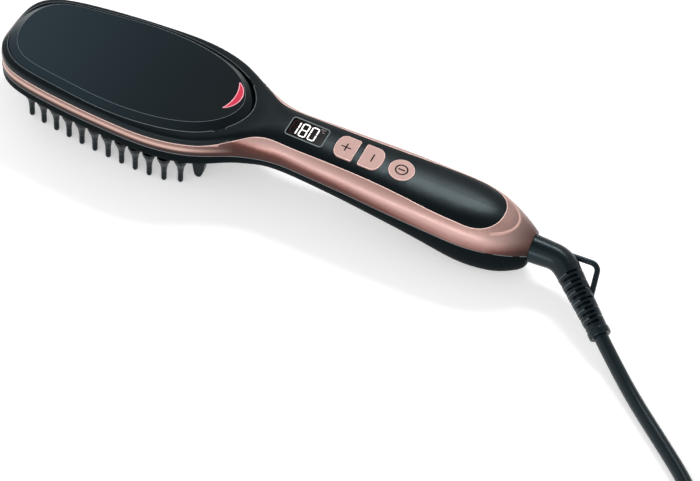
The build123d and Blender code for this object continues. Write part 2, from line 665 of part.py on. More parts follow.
def comb_row(x, centres, root):
    """One heated row: a thin comb across the brush with round valleys between its teeth."""
    w = TOOTH_W / 2 - TIP_WALL
    broad = TOOTH_W / 2
    edge = centres[-1] + broad + 0.3
    points = []
    for y in centres:
        low = [(y - w, TOOTH_LOW), (y + w, TOOTH_LOW)]
        points.append([(y - broad - 0.3, VALLEY_Z), *low, (y + broad + 0.3, VALLEY_Z)])
    line = [Edge.make_line(Vector(0, -edge, root + 0.4), Vector(0, *points[0][0]))]
    for i, tooth in enumerate(points):
        line += [Edge.make_line(Vector(0, *a), Vector(0, *b)) for a, b in zip(tooth, tooth[1:])]
        if i + 1 < len(points):
            start, end = tooth[-1], points[i + 1][0]
            top = (0.5 * (start[0] + end[0]), VALLEY_Z + 0.5 * (end[0] - start[0]))
            line.append(Edge.make_three_point_arc(Vector(0, *start), Vector(0, *top), Vector(0, *end)))
    line.append(Edge.make_line(Vector(0, *points[-1][-1]), Vector(0, edge, root + 0.4)))
    line.append(Edge.make_line(Vector(0, edge, root + 0.4), Vector(0, -edge, root + 0.4)))
    half = TOOTH_T / 2 - TIP_WALL
    comb = extrude(Face(Wire(line)), amount=half, dir=(1, 0, 0), both=True)
    return Pos(x, 0, 0) * comb


def tooth_cap(x, y):
    """Cool tip: a small rounded sleeve pushed over the end of a heated tooth."""
    w, t = TOOTH_W, TOOTH_T
    cap = loft([
        Pos(0, 0, TIP_LOW) * Rectangle(w * 0.5, t * 0.45).face().rotate(Axis.Z, 90),
        Pos(0, 0, TIP_LOW + 1.0) * Rectangle(w * 0.86, t * 0.9).face().rotate(Axis.Z, 90),
        Pos(0, 0, TOOTH_LOW + TIP_LAP) * Rectangle(w, t).face().rotate(Axis.Z, 90),
    ], ruled=True)
    slope = (TIP_WALL + 0.3) / (VALLEY_Z - TOOTH_LOW)
    w0 = w / 2 - TIP_WALL
    w1 = w0 + slope * (TIP_LAP + 1)
    top = TOOTH_LOW + TIP_LAP + 1
    hole = Polyline((-w0, TOOTH_LOW), (w0, TOOTH_LOW), (w1, top), (-w1, top), close=True)
    cut = extrude(make_face(Plane.YZ * hole), amount=t / 2 - TIP_WALL, dir=(1, 0, 0), both=True)
    return Pos(x, y, 0) * (cap - cut)


def build_heater(seat):
    """Heaters, insulation and clamp stacked on the plate, with sensor and fuse beside them."""
    length, width, height = HEATER_SIZE
    slabs = [Pos(x, 0, seat) * Box(length, width, height, align=STANDING) for x in HEATER_X]
    keep("ptc_heaters", Compound(children=slabs))
    middle = sum(HEATER_X) / 2
    span = HEATER_X[1] - HEATER_X[0] + length
    sheet_z = seat + height
    keep("insulation_sheet", Pos(middle, 0, sheet_z) * Box(span + 2, width + 3, SHEET_T, align=STANDING))
    clamp_z = sheet_z + SHEET_T
    clamp = Pos(middle, 0, clamp_z) * Box(span + 8, CLAMP_WIDTH, CLAMP_T, align=STANDING)
    for side in (-1, 1):
        x = middle + side * (span / 2 + 4 - CLAMP_T / 2)
        clamp += Pos(x, 0, seat) * Box(CLAMP_T, CLAMP_WIDTH, clamp_z - seat + CLAMP_T, align=STANDING)
        clamp += Pos(x + side * 1.4, 0, seat) * Box(3.6, CLAMP_WIDTH, CLAMP_T, align=STANDING)
    for x in HEATER_X:
        clamp -= Pos(x, 0, clamp_z) * Box(length * 0.5, CLAMP_WIDTH * 0.4, 3)
    keep("heater_clamp", clamp)
    side_y = width / 2 + 4.0
    fuse = Location((middle - 6, -side_y, seat + 1.75), (0, 90, 0)) * Cylinder(1.7, 12)
    keep("thermal_fuse", fuse)
    keep("temperature_sensor", Pos(middle, side_y, seat) * Box(6, 3, 1.8, align=STANDING))
    return seat + height


# ------------------------------------------------------------------------------ controls
def build_controls():
    window = RectangleRounded(*DISPLAY_SIZE, DISPLAY_CORNER)
    keep("display_window", deck(0, 0, -0.2 - WINDOW_T) * extrude(window, WINDOW_T))
    module_top = -0.2 - WINDOW_T
    module_height = module_top - 0.2 - BOARD_TOP_Z
    module = Box(DISPLAY_SIZE[0] + 2.4, DISPLAY_SIZE[1] + 1.6, module_height, align=STANDING)
    keep("display_module", deck(0, 0, BOARD_TOP_Z) * module)

    names = ("plus", "minus", "power")
    board = deck((BOARD_X0 + BOARD_X1) / 2, 0, BOARD_TOP_Z - BOARD_T) * Box(
        BOARD_X1 - BOARD_X0, BOARD_WIDTH, BOARD_T, align=STANDING
    )
    board -= rod(SCREW_X[0], 0, 0, 60, BOSS_R + 0.4)
    keep("control_board", board)
    switches = []
    for name, (centre, outline) in zip(names, BUTTONS):
        cap = upward(outline(), BUTTON_PROUD - RELIEF_Z + 0.2)
        rim = cap.faces().sort_by(Axis.Z)[-1].edges()
        cap = chamfer(rim, 0.25)
        flange_top = RELIEF_Z - 0.15
        flange = Pos(0, 0, -FLANGE_T) * upward(outline(FLANGE_LIP), FLANGE_T)
        switch_top = BOARD_TOP_Z + SWITCH_H
        plunger_top = switch_top + PLUNGER_UP
        stem = extrude(Circle(PLUNGER_R + 0.6), flange_top - FLANGE_T - plunger_top)
        button = deck(centre, 0, RELIEF_Z - 0.2) * cap
        button += deck(centre, 0, flange_top) * flange
        button += deck(centre, 0, plunger_top) * stem
        keep(name + "_button", button)
        keep(name + "_plunger", deck(centre, 0, plunger_top - 1.5) * extrude(Circle(PLUNGER_R), 1.5))
        body = extrude(RectangleRounded(SWITCH_SIZE, SWITCH_SIZE, 0.6), SWITCH_H)
        body -= Pos(0, 0, 0.6) * extrude(Circle(PLUNGER_R + 0.1), SWITCH_H)
        switches.append(deck(centre, 0, BOARD_TOP_Z) * body)
    keep("tact_switches", Compound(children=switches))


def build_power_board():
    """Mains board low in the handle, with a capacitor, a choke, a triac and a fuse."""
    x0, x1 = POWER_BOARD_X
    board = Pos((x0 + x1) / 2, 0, POWER_BOARD_Z) * Box(x1 - x0, POWER_BOARD_WIDTH, BOARD_T, align=STANDING)
    board -= rod(SCREW_X[1], 0, 0, 60, BOSS_R + 1.7)
    keep("power_board", board)
    seat = POWER_BOARD_Z + BOARD_T
    keep("filter_capacitor", Pos(x0 + 12, 0, seat) * Box(15, 7, 7.5, align=STANDING))
    choke = Pos(x0 + 30, 0, seat) * Box(10, 11, 6, align=STANDING)
    keep("choke", fillet(choke.edges().filter_by(Axis.Z), 2))
    keep("triac", Pos(x0 + 43, 0, seat) * Box(4.5, 10, 8, align=STANDING))


# -------------------------------------------------------------------------------- swivel
def build_swivel():
    bush = lengthwise(CAVITY_END_X, BUSH_END_X, BUSH_R)
    bush -= lengthwise(CAVITY_END_X - 1, BUSH_END_X + 1, HUB_R + HUB_PLAY)
    keep("swivel_bush", bush)
    flange_x = CAVITY_END_X - SWIVEL_GAP
    hub = lengthwise(flange_x - 2.5, LENGTH - HUB_SHORT, HUB_R)
    hub += lengthwise(flange_x - 2.5, flange_x, HUB_FLANGE_R)
    hub += lengthwise(HUB_TAIL_X, flange_x - 2.5, RING_R - 1.0)
    keep("swivel_hub", hub)
    rings, springs = [], []
    for x in (HUB_TAIL_X + 2.0, HUB_TAIL_X + 6.5):
        rings.append(lengthwise(x, x + 2.2, RING_R) - lengthwise(x - 1, x + 4, RING_R - 1.0))
        strip = Pos(x + 1.1, 0, SWIVEL_Z + RING_R + 0.1) * Box(1.8, 11, 0.3, align=STANDING)
        for side in (-1, 1):
            leg = Box(1.8, 0.4, RING_R + 7.4, align=STANDING)
            strip += Pos(x + 1.1, side * 5.6, SWIVEL_Z - 7) * leg
        springs.append(strip)
    keep("contact_rings", Compound(children=rings))
    keep("contact_springs", Compound(children=springs))
    base = Pos(HUB_TAIL_X + 5.3, 0, SWIVEL_Z - 9) * Box(11, 14, 2, align=STANDING)
    keep("contact_block", base)


def bend_plane(x=0.0, t=0.0):
    """Place in the elbow's plane: x along the handle, t towards the cord's side."""
    roll = radians(ELBOW_ROLL)
    return Vector(LENGTH + x, -t * cos(roll), SWIVEL_Z - t * sin(roll))


def elbow_direction():
    turn, roll = radians(ELBOW_TURN), radians(ELBOW_ROLL)
    return Vector(cos(turn), -sin(turn) * cos(roll), -sin(turn) * sin(roll))


def relief_point(s, side=0.0):
    """Point at s along the strain relief's axis, from the elbow's corner."""
    turn = radians(ELBOW_TURN)
    return bend_plane(ELBOW_X + s * cos(turn) + side * sin(turn), s * sin(turn) - side * cos(turn))


def relief_location(s):
    """Frame whose Z runs along the strain relief and whose X lies in the elbow's plane,
    on the outer side of the bend."""
    out = relief_point(s, 1.0) - relief_point(s)
    return Location(Plane(origin=relief_point(s), x_dir=out, z_dir=elbow_direction()))


def relief_radius(s):
    start = ELBOW_BEND * tan(radians(ELBOW_TURN / 2))
    return RELIEF_R0 + (RELIEF_R1 - RELIEF_R0) * (s - start) / (RELIEF_END - start)


def build_elbow():
    start = BUSH_END_X + SWIVEL_GAP
    bend = ELBOW_BEND * tan(radians(ELBOW_TURN / 2))
    stub_end = LENGTH + ELBOW_X - bend
    mouth = lengthwise(start, LENGTH, STUB_R)
    cone = Cone(STUB_R, ELBOW_R, stub_end - LENGTH, align=STANDING)
    cone = Location((LENGTH, 0, SWIVEL_Z), (0, 90, 0)) * cone
    pivot = bend_plane(ELBOW_X - bend, ELBOW_BEND)
    normal = Vector(0, -sin(radians(ELBOW_ROLL)), cos(radians(ELBOW_ROLL)))
    disc = Face(Wire([Edge.make_circle(ELBOW_R, Plane(origin=(stub_end, 0, SWIVEL_Z), z_dir=(1, 0, 0)))]))
    curve = revolve(disc, Axis(pivot, normal * -1), ELBOW_TURN)
    elbow = mouth + cone + curve
    elbow -= lengthwise(start - 1, LENGTH - HUB_SHORT, HUB_R)
    keep("swivel_elbow", elbow)

    # Strain relief: a cone with a collar at its end and slots cut in turn from both sides.
    length = RELIEF_END - bend
    body = relief_location(bend) * Cone(RELIEF_R0, RELIEF_R1, length, align=STANDING)
    collar = Cylinder(RELIEF_R1 + 0.55, RELIEF_COLLAR, align=STANDING)
    collar = relief_location(RELIEF_END - RELIEF_COLLAR) * collar
    collar = fillet(collar.edges().filter_by(GeomType.CIRCLE), 0.7)
    relief = body + collar
    for i in range(SLOTS):
        relief -= slot(SLOT_START + i * SLOT_PITCH, 0)
        relief -= slot(SLOT_START + (i + 0.5) * SLOT_PITCH, 180)
    keep("strain_relief", relief)

    # Hanging loop: a round rod from the elbow round to the strain relief.
    corner = [bend_plane(*LOOP_START), bend_plane(*LOOP_CORNER), bend_plane(*LOOP_END)]
    path = FilletPolyline(*corner, radius=LOOP_BEND)
    loop = sweep(Plane(origin=path @ 0, z_dir=path % 0) * Circle(LOOP_R), path=path)
    keep("hanging_loop", loop - elbow - body)


def slot(s, side):
    """Arc-shaped slot across the strain relief at s, centred on one side of it."""
    r = relief_radius(s)
    half = radians(SLOT_ARC / 2)
    inner, outer = r - SLOT_DEPTH, r + 2
    turns = [(inner, half), (inner, 0), (inner, -half), (outer, -half), (outer, 0), (outer, half)]
    points = [Vector(reach * cos(turn), reach * sin(turn)) for reach, turn in turns]
    face = Face(Wire([
        Edge.make_three_point_arc(*points[:3]), Edge.make_line(points[2], points[3]),
        Edge.make_three_point_arc(*points[3:]), Edge.make_line(points[5], points[0]),
    ]))
    cut = extrude(face, amount=SLOT_W / 2, dir=(0, 0, 1), both=True)
    return relief_location(s) * Rot(0, 0, side) * cut


# ---------------------------------------------------------------------------------- cord
def cord_points():
    """Route of the lead: out of the strain relief, down to the table and to the coil."""
    start = relief_point(RELIEF_END)
    down = CORD_R + FLOOR_GAP
    first = start + elbow_direction() * 20.0
    angle = radians(COIL_IN_ANGLE)
    last = (COIL_C[0] + COIL_R_OUT * cos(angle), COIL_C[1] + COIL_R_OUT * sin(angle), down)
    middle = [(357.5, -54.2, down + 0.1), (374.2, -68.6, down), (390.5, -83.2, down)]
    middle += [(403.5, -98.5, down), (414.9, -115.8, down)]
    return [start, first] + [Vector(*p) for p in middle] + [Vector(*last)]


def tail_points():
    """Route of the tail: off the top turn of the coil, down to the plug beside it."""
    angle = radians(COIL_OUT_ANGLE)
    up = CORD_R + FLOOR_GAP + COIL_PITCH
    first = (COIL_C[0] + COIL_R_OUT * cos(angle), COIL_C[1] + COIL_R_OUT * sin(angle), up)
    rest = [(506.6, -71.0, up - 1.4), (502.4, -55.2, PLUG_T / 2), (499.2, -40.0, PLUG_T / 2)]
    return [Vector(*first)] + [Vector(*p) for p in rest]


def route(name, points):
    """Straight runs joined by arcs as large as the runs allow; prints the arc radii."""
    radii = []
    for a, b, c in zip(points, points[1:], points[2:]):
        turn = (b - a).get_angle(c - b)
        radii.append(0.45 * min((b - a).length, (c - b).length) / tan(radians(turn / 2)))
    print(name, "arc radii", [round(r) for r in radii])
    return FilletPolyline(*points, radius=radii)


def tube(name, points):
    path = route(name, points)
    solid = sweep(Plane(origin=path @ 0, z_dir=path % 0) * Circle(CORD_R), path=path)
    expected = pi * CORD_R**2 * path.length
    print(name, "length", round(path.length, 1), "volume ratio", round(solid.volume / expected, 4))
    return keep(name, solid)


def build_cord():
    tube("cord_lead", cord_points())
    tube("cord_tail", tail_points())
    sweep_r = COIL_TURNS / 2 * COIL_PITCH
    r_in, r_out = COIL_R_OUT - sweep_r - CORD_R, COIL_R_OUT + CORD_R
    height = 2 * CORD_R + COIL_PITCH
    ring = Cylinder(r_out, height, align=STANDING) - Cylinder(r_in, 3 * height)
    ring = fillet(ring.edges().filter_by(GeomType.CIRCLE), CORD_R * 0.9)
    coil = keep("cord_coil", Pos(COIL_C[0], COIL_C[1], FLOOR_GAP) * ring)
    mean = COIL_R_OUT - sweep_r / 2
    print("coil length", round(2 * pi * mean * COIL_TURNS, 1))

    # Tie: a flat strap round the bundle of turns, open below where it meets the table.
    middle = (r_in + r_out) / 2
    band = Box(r_out - r_in + 2 * TIE_T, TIE_W, height + 2 * TIE_T)
    band = fillet(band.edges().filter_by(Axis.Y), CORD_R * 0.9)
    core = fillet(Box(r_out - r_in + 0.2, TIE_W + 2, height + 0.2).edges().filter_by(Axis.Y), CORD_R * 0.85)
    over_coil = Location((COIL_C[0], COIL_C[1], FLOOR_GAP + height / 2), (0, 0, 300))
    tie = over_coil * (Pos(middle, 0, 0) * (band - core))
    keep("cord_tie", tie - Pos(COIL_C[0], COIL_C[1], -5) * Box(200, 200, 10) - coil)


def build_plug():
    """Flat two-pin plug with a tapered relief, lying on the table beside the coil."""
    points = tail_points()
    along = (points[-1] - points[-2]).normalized()
    place = Location(Plane(origin=points[-1], x_dir=Vector(-along.Y, along.X, 0), z_dir=along))
    relief = Cone(CORD_R + 1.0, CORD_R + 2.2, PLUG_RELIEF, align=STANDING)
    # In this place X is across the plug on the table and Y is upright.
    body = loft([
        Pos(0, 0, PLUG_RELIEF) * RectangleRounded(15, 12.2, 5.5),
        Pos(0, 0, PLUG_RELIEF + 13) * RectangleRounded(27, PLUG_T - 0.5, 6.0),
        Pos(0, 0, PLUG_RELIEF + PLUG_BODY) * RectangleRounded(PLUG_W, PLUG_T, 6.4),
    ])
    face_z = PLUG_RELIEF + PLUG_BODY
    keep("plug_body", place * (relief + body))
    pins = []
    for side in (-1, 1):
        pin = Pos(side * PIN_SPACING / 2, 0, face_z) * Cylinder(PIN_R, PIN_LENGTH, align=STANDING)
        pins.append(place * chamfer(pin.faces().sort_by(Axis.Z)[-1].edges(), 0.6))
    keep("plug_pins", Compound(children=pins))


# --------------------------------------------------------------------- screws and leads
def build_screws():
    screws = []
    for x in SCREW_X:
        joint = (top_height(x) + bottom_height(x)) / 2
        head = rod(x, 0, joint - 5, joint - 3, SCREW_HEAD_R)
        head -= Pos(x, 0, joint - 5) * Box(0.7, 3.2, 1.6) + Pos(x, 0, joint - 5) * Box(3.2, 0.7, 1.6)
        screws.append(head + rod(x, 0, joint - 3, joint + 8, SCREW_R - 0.15))
    keep("housing_screws", Compound(children=screws))


def build_leads(heater_top):
    """Insulated leads: control board to the heaters, and contact block to the mains board."""
    wires = []
    board_end = deck(BOARD_X0 + 0.2, 0, BOARD_TOP_Z - BOARD_T - 0.85).position
    for y in (-6.0, 6.0):
        points = [
            (board_end.X + 4, y, board_end.Z - 0.15), (board_end.X - 3, y, board_end.Z),
            (HEATER_X[1] + HEATER_SIZE[0] / 2 + 9, y * 1.6, heater_top + 2.6),
            (HEATER_X[1] + HEATER_SIZE[0] / 2 - 2, y * 1.75, heater_top + SHEET_T + 0.85),
        ]
        wires.append(wire(points, 3.0))
    keep("heater_leads", Compound(children=wires))
    feeds = []
    x1 = POWER_BOARD_X[1]
    for y in (-4.0, 4.0):
        points = [
            (x1 - 1.5, y, POWER_BOARD_Z + BOARD_T + 0.85), (x1 + 1.8, y, POWER_BOARD_Z + BOARD_T + 0.85),
            (HUB_TAIL_X - 2.2, y, SWIVEL_Z - 8.0), (HUB_TAIL_X - 0.3, y, SWIVEL_Z - 8.0),
        ]
        feeds.append(wire(points, 0.8))
    keep("mains_leads", Compound(children=feeds))


def wire(points, radius):
    path = FilletPolyline(*points, radius=radius)
    return sweep(Plane(origin=path @ 0, z_dir=path % 0) * Circle(0.75), path=path)


foot_face = build_housing()
build_panel(foot_face)
heater_seat = build_underside()
heater_top = build_heater(heater_seat)
build_controls()
build_power_board()
build_swivel()
build_elbow()
build_screws()
build_leads(heater_top)
build_cord()
build_plug()

os.makedirs("parts", exist_ok=True)
for part_name, shape in PARTS.items():
    export_step(Pos(-LENGTH / 2, 0, 0) * shape, "parts/" + part_name + ".step")
    print(part_name, "solids", len(shape.solids()))
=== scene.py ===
"""Heated hair straightening brush: finishes, signs, seams, mains lead, light and camera
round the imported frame. Metres, in the frame's own axes: +X from the head's tip to the
cord end, +Z up from the table."""

import json
from math import cos, pi, radians, sin

import bpy
import numpy as np
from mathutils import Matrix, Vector
from mathutils.geometry import convex_hull_2d


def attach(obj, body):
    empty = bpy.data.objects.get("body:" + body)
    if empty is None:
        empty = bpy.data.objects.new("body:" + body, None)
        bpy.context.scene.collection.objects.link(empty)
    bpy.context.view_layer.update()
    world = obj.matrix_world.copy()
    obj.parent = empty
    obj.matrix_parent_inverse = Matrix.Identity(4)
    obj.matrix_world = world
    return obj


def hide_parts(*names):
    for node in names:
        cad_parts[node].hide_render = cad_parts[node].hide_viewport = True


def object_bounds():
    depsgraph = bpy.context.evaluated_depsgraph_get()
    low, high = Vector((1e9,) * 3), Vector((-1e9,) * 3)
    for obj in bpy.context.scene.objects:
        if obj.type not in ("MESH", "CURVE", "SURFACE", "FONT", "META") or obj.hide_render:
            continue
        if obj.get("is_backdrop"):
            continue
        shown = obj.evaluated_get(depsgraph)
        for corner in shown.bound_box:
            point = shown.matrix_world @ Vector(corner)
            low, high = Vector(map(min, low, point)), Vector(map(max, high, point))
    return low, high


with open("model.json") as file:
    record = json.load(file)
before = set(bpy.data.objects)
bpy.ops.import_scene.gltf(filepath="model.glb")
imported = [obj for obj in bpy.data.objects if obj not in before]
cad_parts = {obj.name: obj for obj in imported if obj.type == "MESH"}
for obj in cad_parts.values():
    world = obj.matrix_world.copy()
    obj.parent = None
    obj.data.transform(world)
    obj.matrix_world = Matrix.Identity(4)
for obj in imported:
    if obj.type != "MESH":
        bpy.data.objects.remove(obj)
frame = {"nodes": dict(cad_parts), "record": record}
cad_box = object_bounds()
nodes = frame["nodes"]

MM = 0.001

# The plane of the handle's top, with its origin over the display.
DISPLAY_AT = (21.2 * MM, 0.0, 39.75 * MM)
DISPLAY_SIZE = (19.3 * MM, 12.0 * MM)
DISPLAY_CORNER = 1.4 * MM
HANDLE_SLOPE = radians(2.1)
PLUS_X, MINUS_X, POWER_X = 20.5 * MM, 34.4 * MM, 49.6 * MM
BUTTON_PROUD = 0.25 * MM


# -------------------------------------------------------------------- camera
def make_camera():
    """Camera above the cord end, looking down along the handle to the head's tip."""
    data = bpy.data.cameras.new("camera")
    data.sensor_width = 36.0
    data.lens = 128.57
    camera = bpy.data.objects.new("camera", data)
    camera.location = (0.3166, -0.7494, 0.9318)
    camera.rotation_euler = [radians(turn) for turn in (39.54, -3.75, 24.22)]
    bpy.context.collection.objects.link(camera)
    bpy.context.scene.camera = camera


# -------------------------------------------------------------------- mains lead
CORD_R = 3.5 * MM
FLOOR_GAP = 0.05 * MM
# Route of the lead and its tail, and the coil between them, in millimetres.
LEAD = [
    (187.45, -27.89, 9.44), (202.08, -40.86, 5.22), (217.0, -54.2, 3.65), (233.7, -68.6, 3.55),
    (250.0, -83.2, 3.55), (263.0, -98.5, 3.55), (274.4, -115.8, 3.55),
]
TAIL = [(366.1, -71.0, 9.25), (361.9, -55.2, 6.85), (358.7, -40.0, 6.85)]
COIL_CENTRE = (325.5, -104.0)
COIL_R_OUT = 49.5
COIL_PITCH = 7.1
COIL_TURNS = 6.458
COIL_IN_ANGLE = 215.0
COIL_CLIMB = 0.3                 # share of a turn over which the line climbs on itself
POINTS_PER_TURN = 18


def coil_points():
    """Turns of the coil: the angle grows evenly; the radius falls by one pitch a turn on
    the table, then the line climbs by a pitch and the radius grows again on top. The
    points lie a little outside the line, which runs through the middles between them."""
    count = round(COIL_TURNS * POINTS_PER_TURN)
    turn = np.linspace(0, COIL_TURNS, count + 1)
    angle = radians(COIL_IN_ANGLE) + 2 * pi * turn
    radius = COIL_R_OUT - COIL_PITCH * np.minimum(turn, COIL_TURNS - turn)
    radius = radius / cos(pi / POINTS_PER_TURN)
    climb = np.clip((turn - COIL_TURNS / 2) / COIL_CLIMB + 0.5, 0, 1)
    height = CORD_R / MM + FLOOR_GAP / MM + COIL_PITCH * climb * climb * (3 - 2 * climb)
    x = COIL_CENTRE[0] + radius * np.cos(angle)
    y = COIL_CENTRE[1] + radius * np.sin(angle)
    return np.stack([x, y, height], axis=1)


def make_cord():
    """Mains lead: one smooth line from the strain relief along the table, into the
    put-away coil and on to the plug."""
    points = np.vstack([LEAD, coil_points(), TAIL]) * MM
    curve = bpy.data.curves.new("mains_cord", "CURVE")
    curve.dimensions = "3D"
    curve.bevel_depth = CORD_R
    curve.bevel_resolution = 5
    curve.resolution_u = 6
    spline = curve.splines.new("NURBS")
    spline.points.add(len(points) - 1)
    spline.points.foreach_set("co", np.hstack([points, np.ones((len(points), 1))]).ravel())
    spline.order_u = 3
    spline.use_endpoint_u = True
    cord = bpy.data.objects.new("mains_cord", curve)
    bpy.context.collection.objects.link(cord)
    cord.data.materials.append(MATERIALS["cord_black"])
    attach(cord, "swivel")
    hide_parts("cord_lead", "cord_coil", "cord_tail")
    fixed = ("swivel_elbow", "strain_relief", "cord_tie", "plug_body", "plug_pins")
    on_cord = [nodes[name] for name in fixed] + [make_loop()]


# -------------------------------------------------------------------- finishes
MATERIALS = {}
COOL = (0.72, 0.93, 1.0, 1.0)          # tint of the shine on black mouldings
NOISE_SPAN = (0.3, 0.7)                # most of a noise texture lies between these


def colour(red, green, blue):
    """Linear colour of display values from 0 to 255: each channel to the power 2.2."""
    return tuple((c / 255) ** 2.2 for c in (red, green, blue)) + (1.0,)


def finish(name, base, roughness, metallic=0.0, **sockets):
    """Principled finish with its constants set on its own sockets."""
    material = bpy.data.materials.new(name)
    material.use_nodes = True
    shader = material.node_tree.nodes["Principled BSDF"]
    shader.inputs["Base Color"].default_value = base
    shader.inputs["Roughness"].default_value = roughness
    shader.inputs["Metallic"].default_value = metallic
    for socket, value in sockets.items():
        shader.inputs[socket.replace("_", " ")].default_value = value
    MATERIALS[name] = material
    return material


def noise(material, size, detail=2.0):
    """Noise whose spots are this many millimetres across, on Object coordinates."""
    tree = material.node_tree
    coords = tree.nodes.new("ShaderNodeTexCoord")
    spots = tree.nodes.new("ShaderNodeTexNoise")
    spots.inputs["Scale"].default_value = 1.0 / (size * MM)
    spots.inputs["Detail"].default_value = detail
    tree.links.new(coords.outputs["Object"], spots.inputs["Vector"])
    return spots.outputs["Fac"]


def vary(material, socket, factor, low, high):
    """A socket that wanders between two values with noise: a colour by the noise itself,
    a number over the span that most of the noise keeps to."""
    tree = material.node_tree
    shader = tree.nodes["Principled BSDF"]
    if socket == "Base Color":
        mix = tree.nodes.new("ShaderNodeMix")
        mix.data_type = "RGBA"
        mix.inputs["A"].default_value, mix.inputs["B"].default_value = low, high
        tree.links.new(factor, mix.inputs["Factor"])
        tree.links.new(mix.outputs["Result"], shader.inputs[socket])
        return
    span = tree.nodes.new("ShaderNodeMapRange")
    span.inputs["From Min"].default_value, span.inputs["From Max"].default_value = NOISE_SPAN
    span.inputs["To Min"].default_value, span.inputs["To Max"].default_value = low, high
    tree.links.new(factor, span.inputs["Value"])
    tree.links.new(span.outputs["Result"], shader.inputs[socket])


def grain(material, factor, depth):
    """Fine relief of this depth in millimetres."""
    tree = material.node_tree
    bump = tree.nodes.new("ShaderNodeBump")
    bump.inputs["Strength"].default_value = 1.0
    bump.inputs["Distance"].default_value = depth * MM
    tree.links.new(factor, bump.inputs["Height"])
    tree.links.new(bump.outputs["Normal"], tree.nodes["Principled BSDF"].inputs["Normal"])


def between(tree, source, low, high, start, end):
    """A value that goes smoothly from start to end as its source goes from low to high."""
    span = tree.nodes.new("ShaderNodeMapRange")
    span.interpolation_type = "SMOOTHSTEP"
    span.inputs["From Min"].default_value, span.inputs["From Max"].default_value = low, high
    span.inputs["To Min"].default_value, span.inputs["To Max"].default_value = start, end
    tree.links.new(source, span.inputs["Value"])
    return span.outputs["Result"]


def satin_black():
    """Housing mouldings: near black with a cool tint and a fine spark-eroded grain."""
    m = finish("black_satin", colour(12, 17, 20), 0.30, Specular_IOR_Level=0.22, Specular_Tint=COOL)
    vary(m, "Roughness", noise(m, 14.0), 0.28, 0.33)
    grain(m, noise(m, 0.35), 0.004)
    lacquer_step(m)


def shell_black():
    """Lower shell: the same moulding with a duller shine."""
    m = finish("black_shell", colour(23, 28, 30), 0.42, Specular_IOR_Level=0.01, Specular_Tint=COOL)
    vary(m, "Roughness", noise(m, 14.0), 0.39, 0.45)
    grain(m, noise(m, 0.35), 0.004)


SEAM_X = (-25.0, 1.0)            # the upper seam climbs between these places, in millimetres
SEAM_Z = (34.2, 38.15)           # and between these heights


def lacquer_step(material):
    """Rose lacquer on the housing's lip, below the line on which the seam climbs: a
    smooth step in height along the brush."""
    tree = material.node_tree
    shader = tree.nodes["Principled BSDF"]
    coords = tree.nodes.new("ShaderNodeTexCoord")
    split = tree.nodes.new("ShaderNodeSeparateXYZ")
    below, before, both = (tree.nodes.new("ShaderNodeMath") for _ in range(3))
    below.operation = before.operation = "LESS_THAN"
    both.operation = "MULTIPLY"
    before.inputs[1].default_value = SEAM_X[1] * MM
    mix = tree.nodes.new("ShaderNodeMix")
    mix.data_type = "RGBA"
    mix.inputs["A"].default_value = shader.inputs["Base Color"].default_value
    mix.inputs["B"].default_value = colour(176, 136, 128)
    tree.links.new(coords.outputs["Object"], split.inputs["Vector"])
    line = between(tree, split.outputs["X"], *(value * MM for value in SEAM_X + SEAM_Z))
    tree.links.new(split.outputs["Z"], below.inputs[0])
    tree.links.new(line, below.inputs[1])
    tree.links.new(split.outputs["X"], before.inputs[0])
    tree.links.new(below.outputs["Value"], both.inputs[0])
    tree.links.new(before.outputs["Value"], both.inputs[1])
    tree.links.new(both.outputs["Value"], mix.inputs["Factor"])
    tree.links.new(mix.outputs["Result"], shader.inputs["Base Color"])


def ramp(tree, source, stops):
    """Colour that follows a value: each stop gives the value and the colour there."""
    low, high = stops[0][0], stops[-1][0]
    span = tree.nodes.new("ShaderNodeMapRange")
    span.inputs["From Min"].default_value, span.inputs["From Max"].default_value = low, high
    blend = tree.nodes.new("ShaderNodeValToRGB")
    tones = blend.color_ramp.elements
    while len(tones) < len(stops):
        tones.new(0.5)
    for tone, (value, tint) in zip(tones, stops):
        tone.position = (value - low) / (high - low)
        tone.color = tint
    tree.links.new(source, span.inputs["Value"])
    tree.links.new(span.outputs["Result"], blend.inputs["Fac"])
    return blend.outputs["Color"]


def grey(level):
    """Grey of this linear level."""
    return (level, level, level, 1.0)


# Painted highlight and shade on the handle's lacquer, by how far the surface leans up: the upward
# part of its normal.
LEAN_PAINTED_LIGHT = [
    (-0.40, colour(62, 30, 24)), (-0.10, colour(84, 46, 38)), (0.0, colour(108, 65, 58)),
    (0.17, colour(160, 118, 111)), (0.34, colour(190, 152, 145)), (0.55, colour(193, 157, 150)),
    (0.87, colour(186, 147, 139)), (0.95, colour(178, 141, 134)),
]
# How far that lean, and the painted light with it, is moved along the handle, by place in metres;
# LEAN_REST moves nothing.
LEAN_REST = 0.6
LEAN_SHIFT = [
    (-0.02, grey(0.12)), (-0.01, grey(0.16)), (0.02, grey(0.46)), (0.045, grey(0.54)),
    (0.075, grey(0.63)), (0.105, grey(0.71)), (0.122, grey(0.62)), (0.138, grey(0.18)),
]
# Painted shade towards the handle's end, by place; painted highlight and shade on the
# head's lacquer, by height; and where the one gives way to the other, by place.
END_PAINTED_SHADE = [
    (0.118, grey(1.0)), (0.128, grey(0.76)), (0.135, grey(0.42)), (0.141, (0.2, 0.13, 0.11, 1.0)),
]
HEAD_PAINTED_LIGHT = [
    (0.0270, colour(40, 24, 21)), (0.0292, colour(56, 34, 30)),
    (0.0301, colour(182, 144, 133)), (0.0309, colour(222, 184, 172)),
    (0.0317, colour(198, 160, 149)), (0.0325, colour(146, 114, 106)),
    (0.0340, colour(138, 108, 101)),
]
HANDLE_SHARE = [(-0.031, grey(0.0)), (-0.008, grey(1.0))]
FLAKE_TONES = [(0.3, grey(0.9)), (0.7, grey(1.08))]
# Painted sheen on the head panel, by place: lighter and bluer at the tip, black at the neck.
PANEL_PAINTED_SHEEN = [(-0.13, colour(32, 45, 52)), (-0.02, colour(10, 14, 18))]


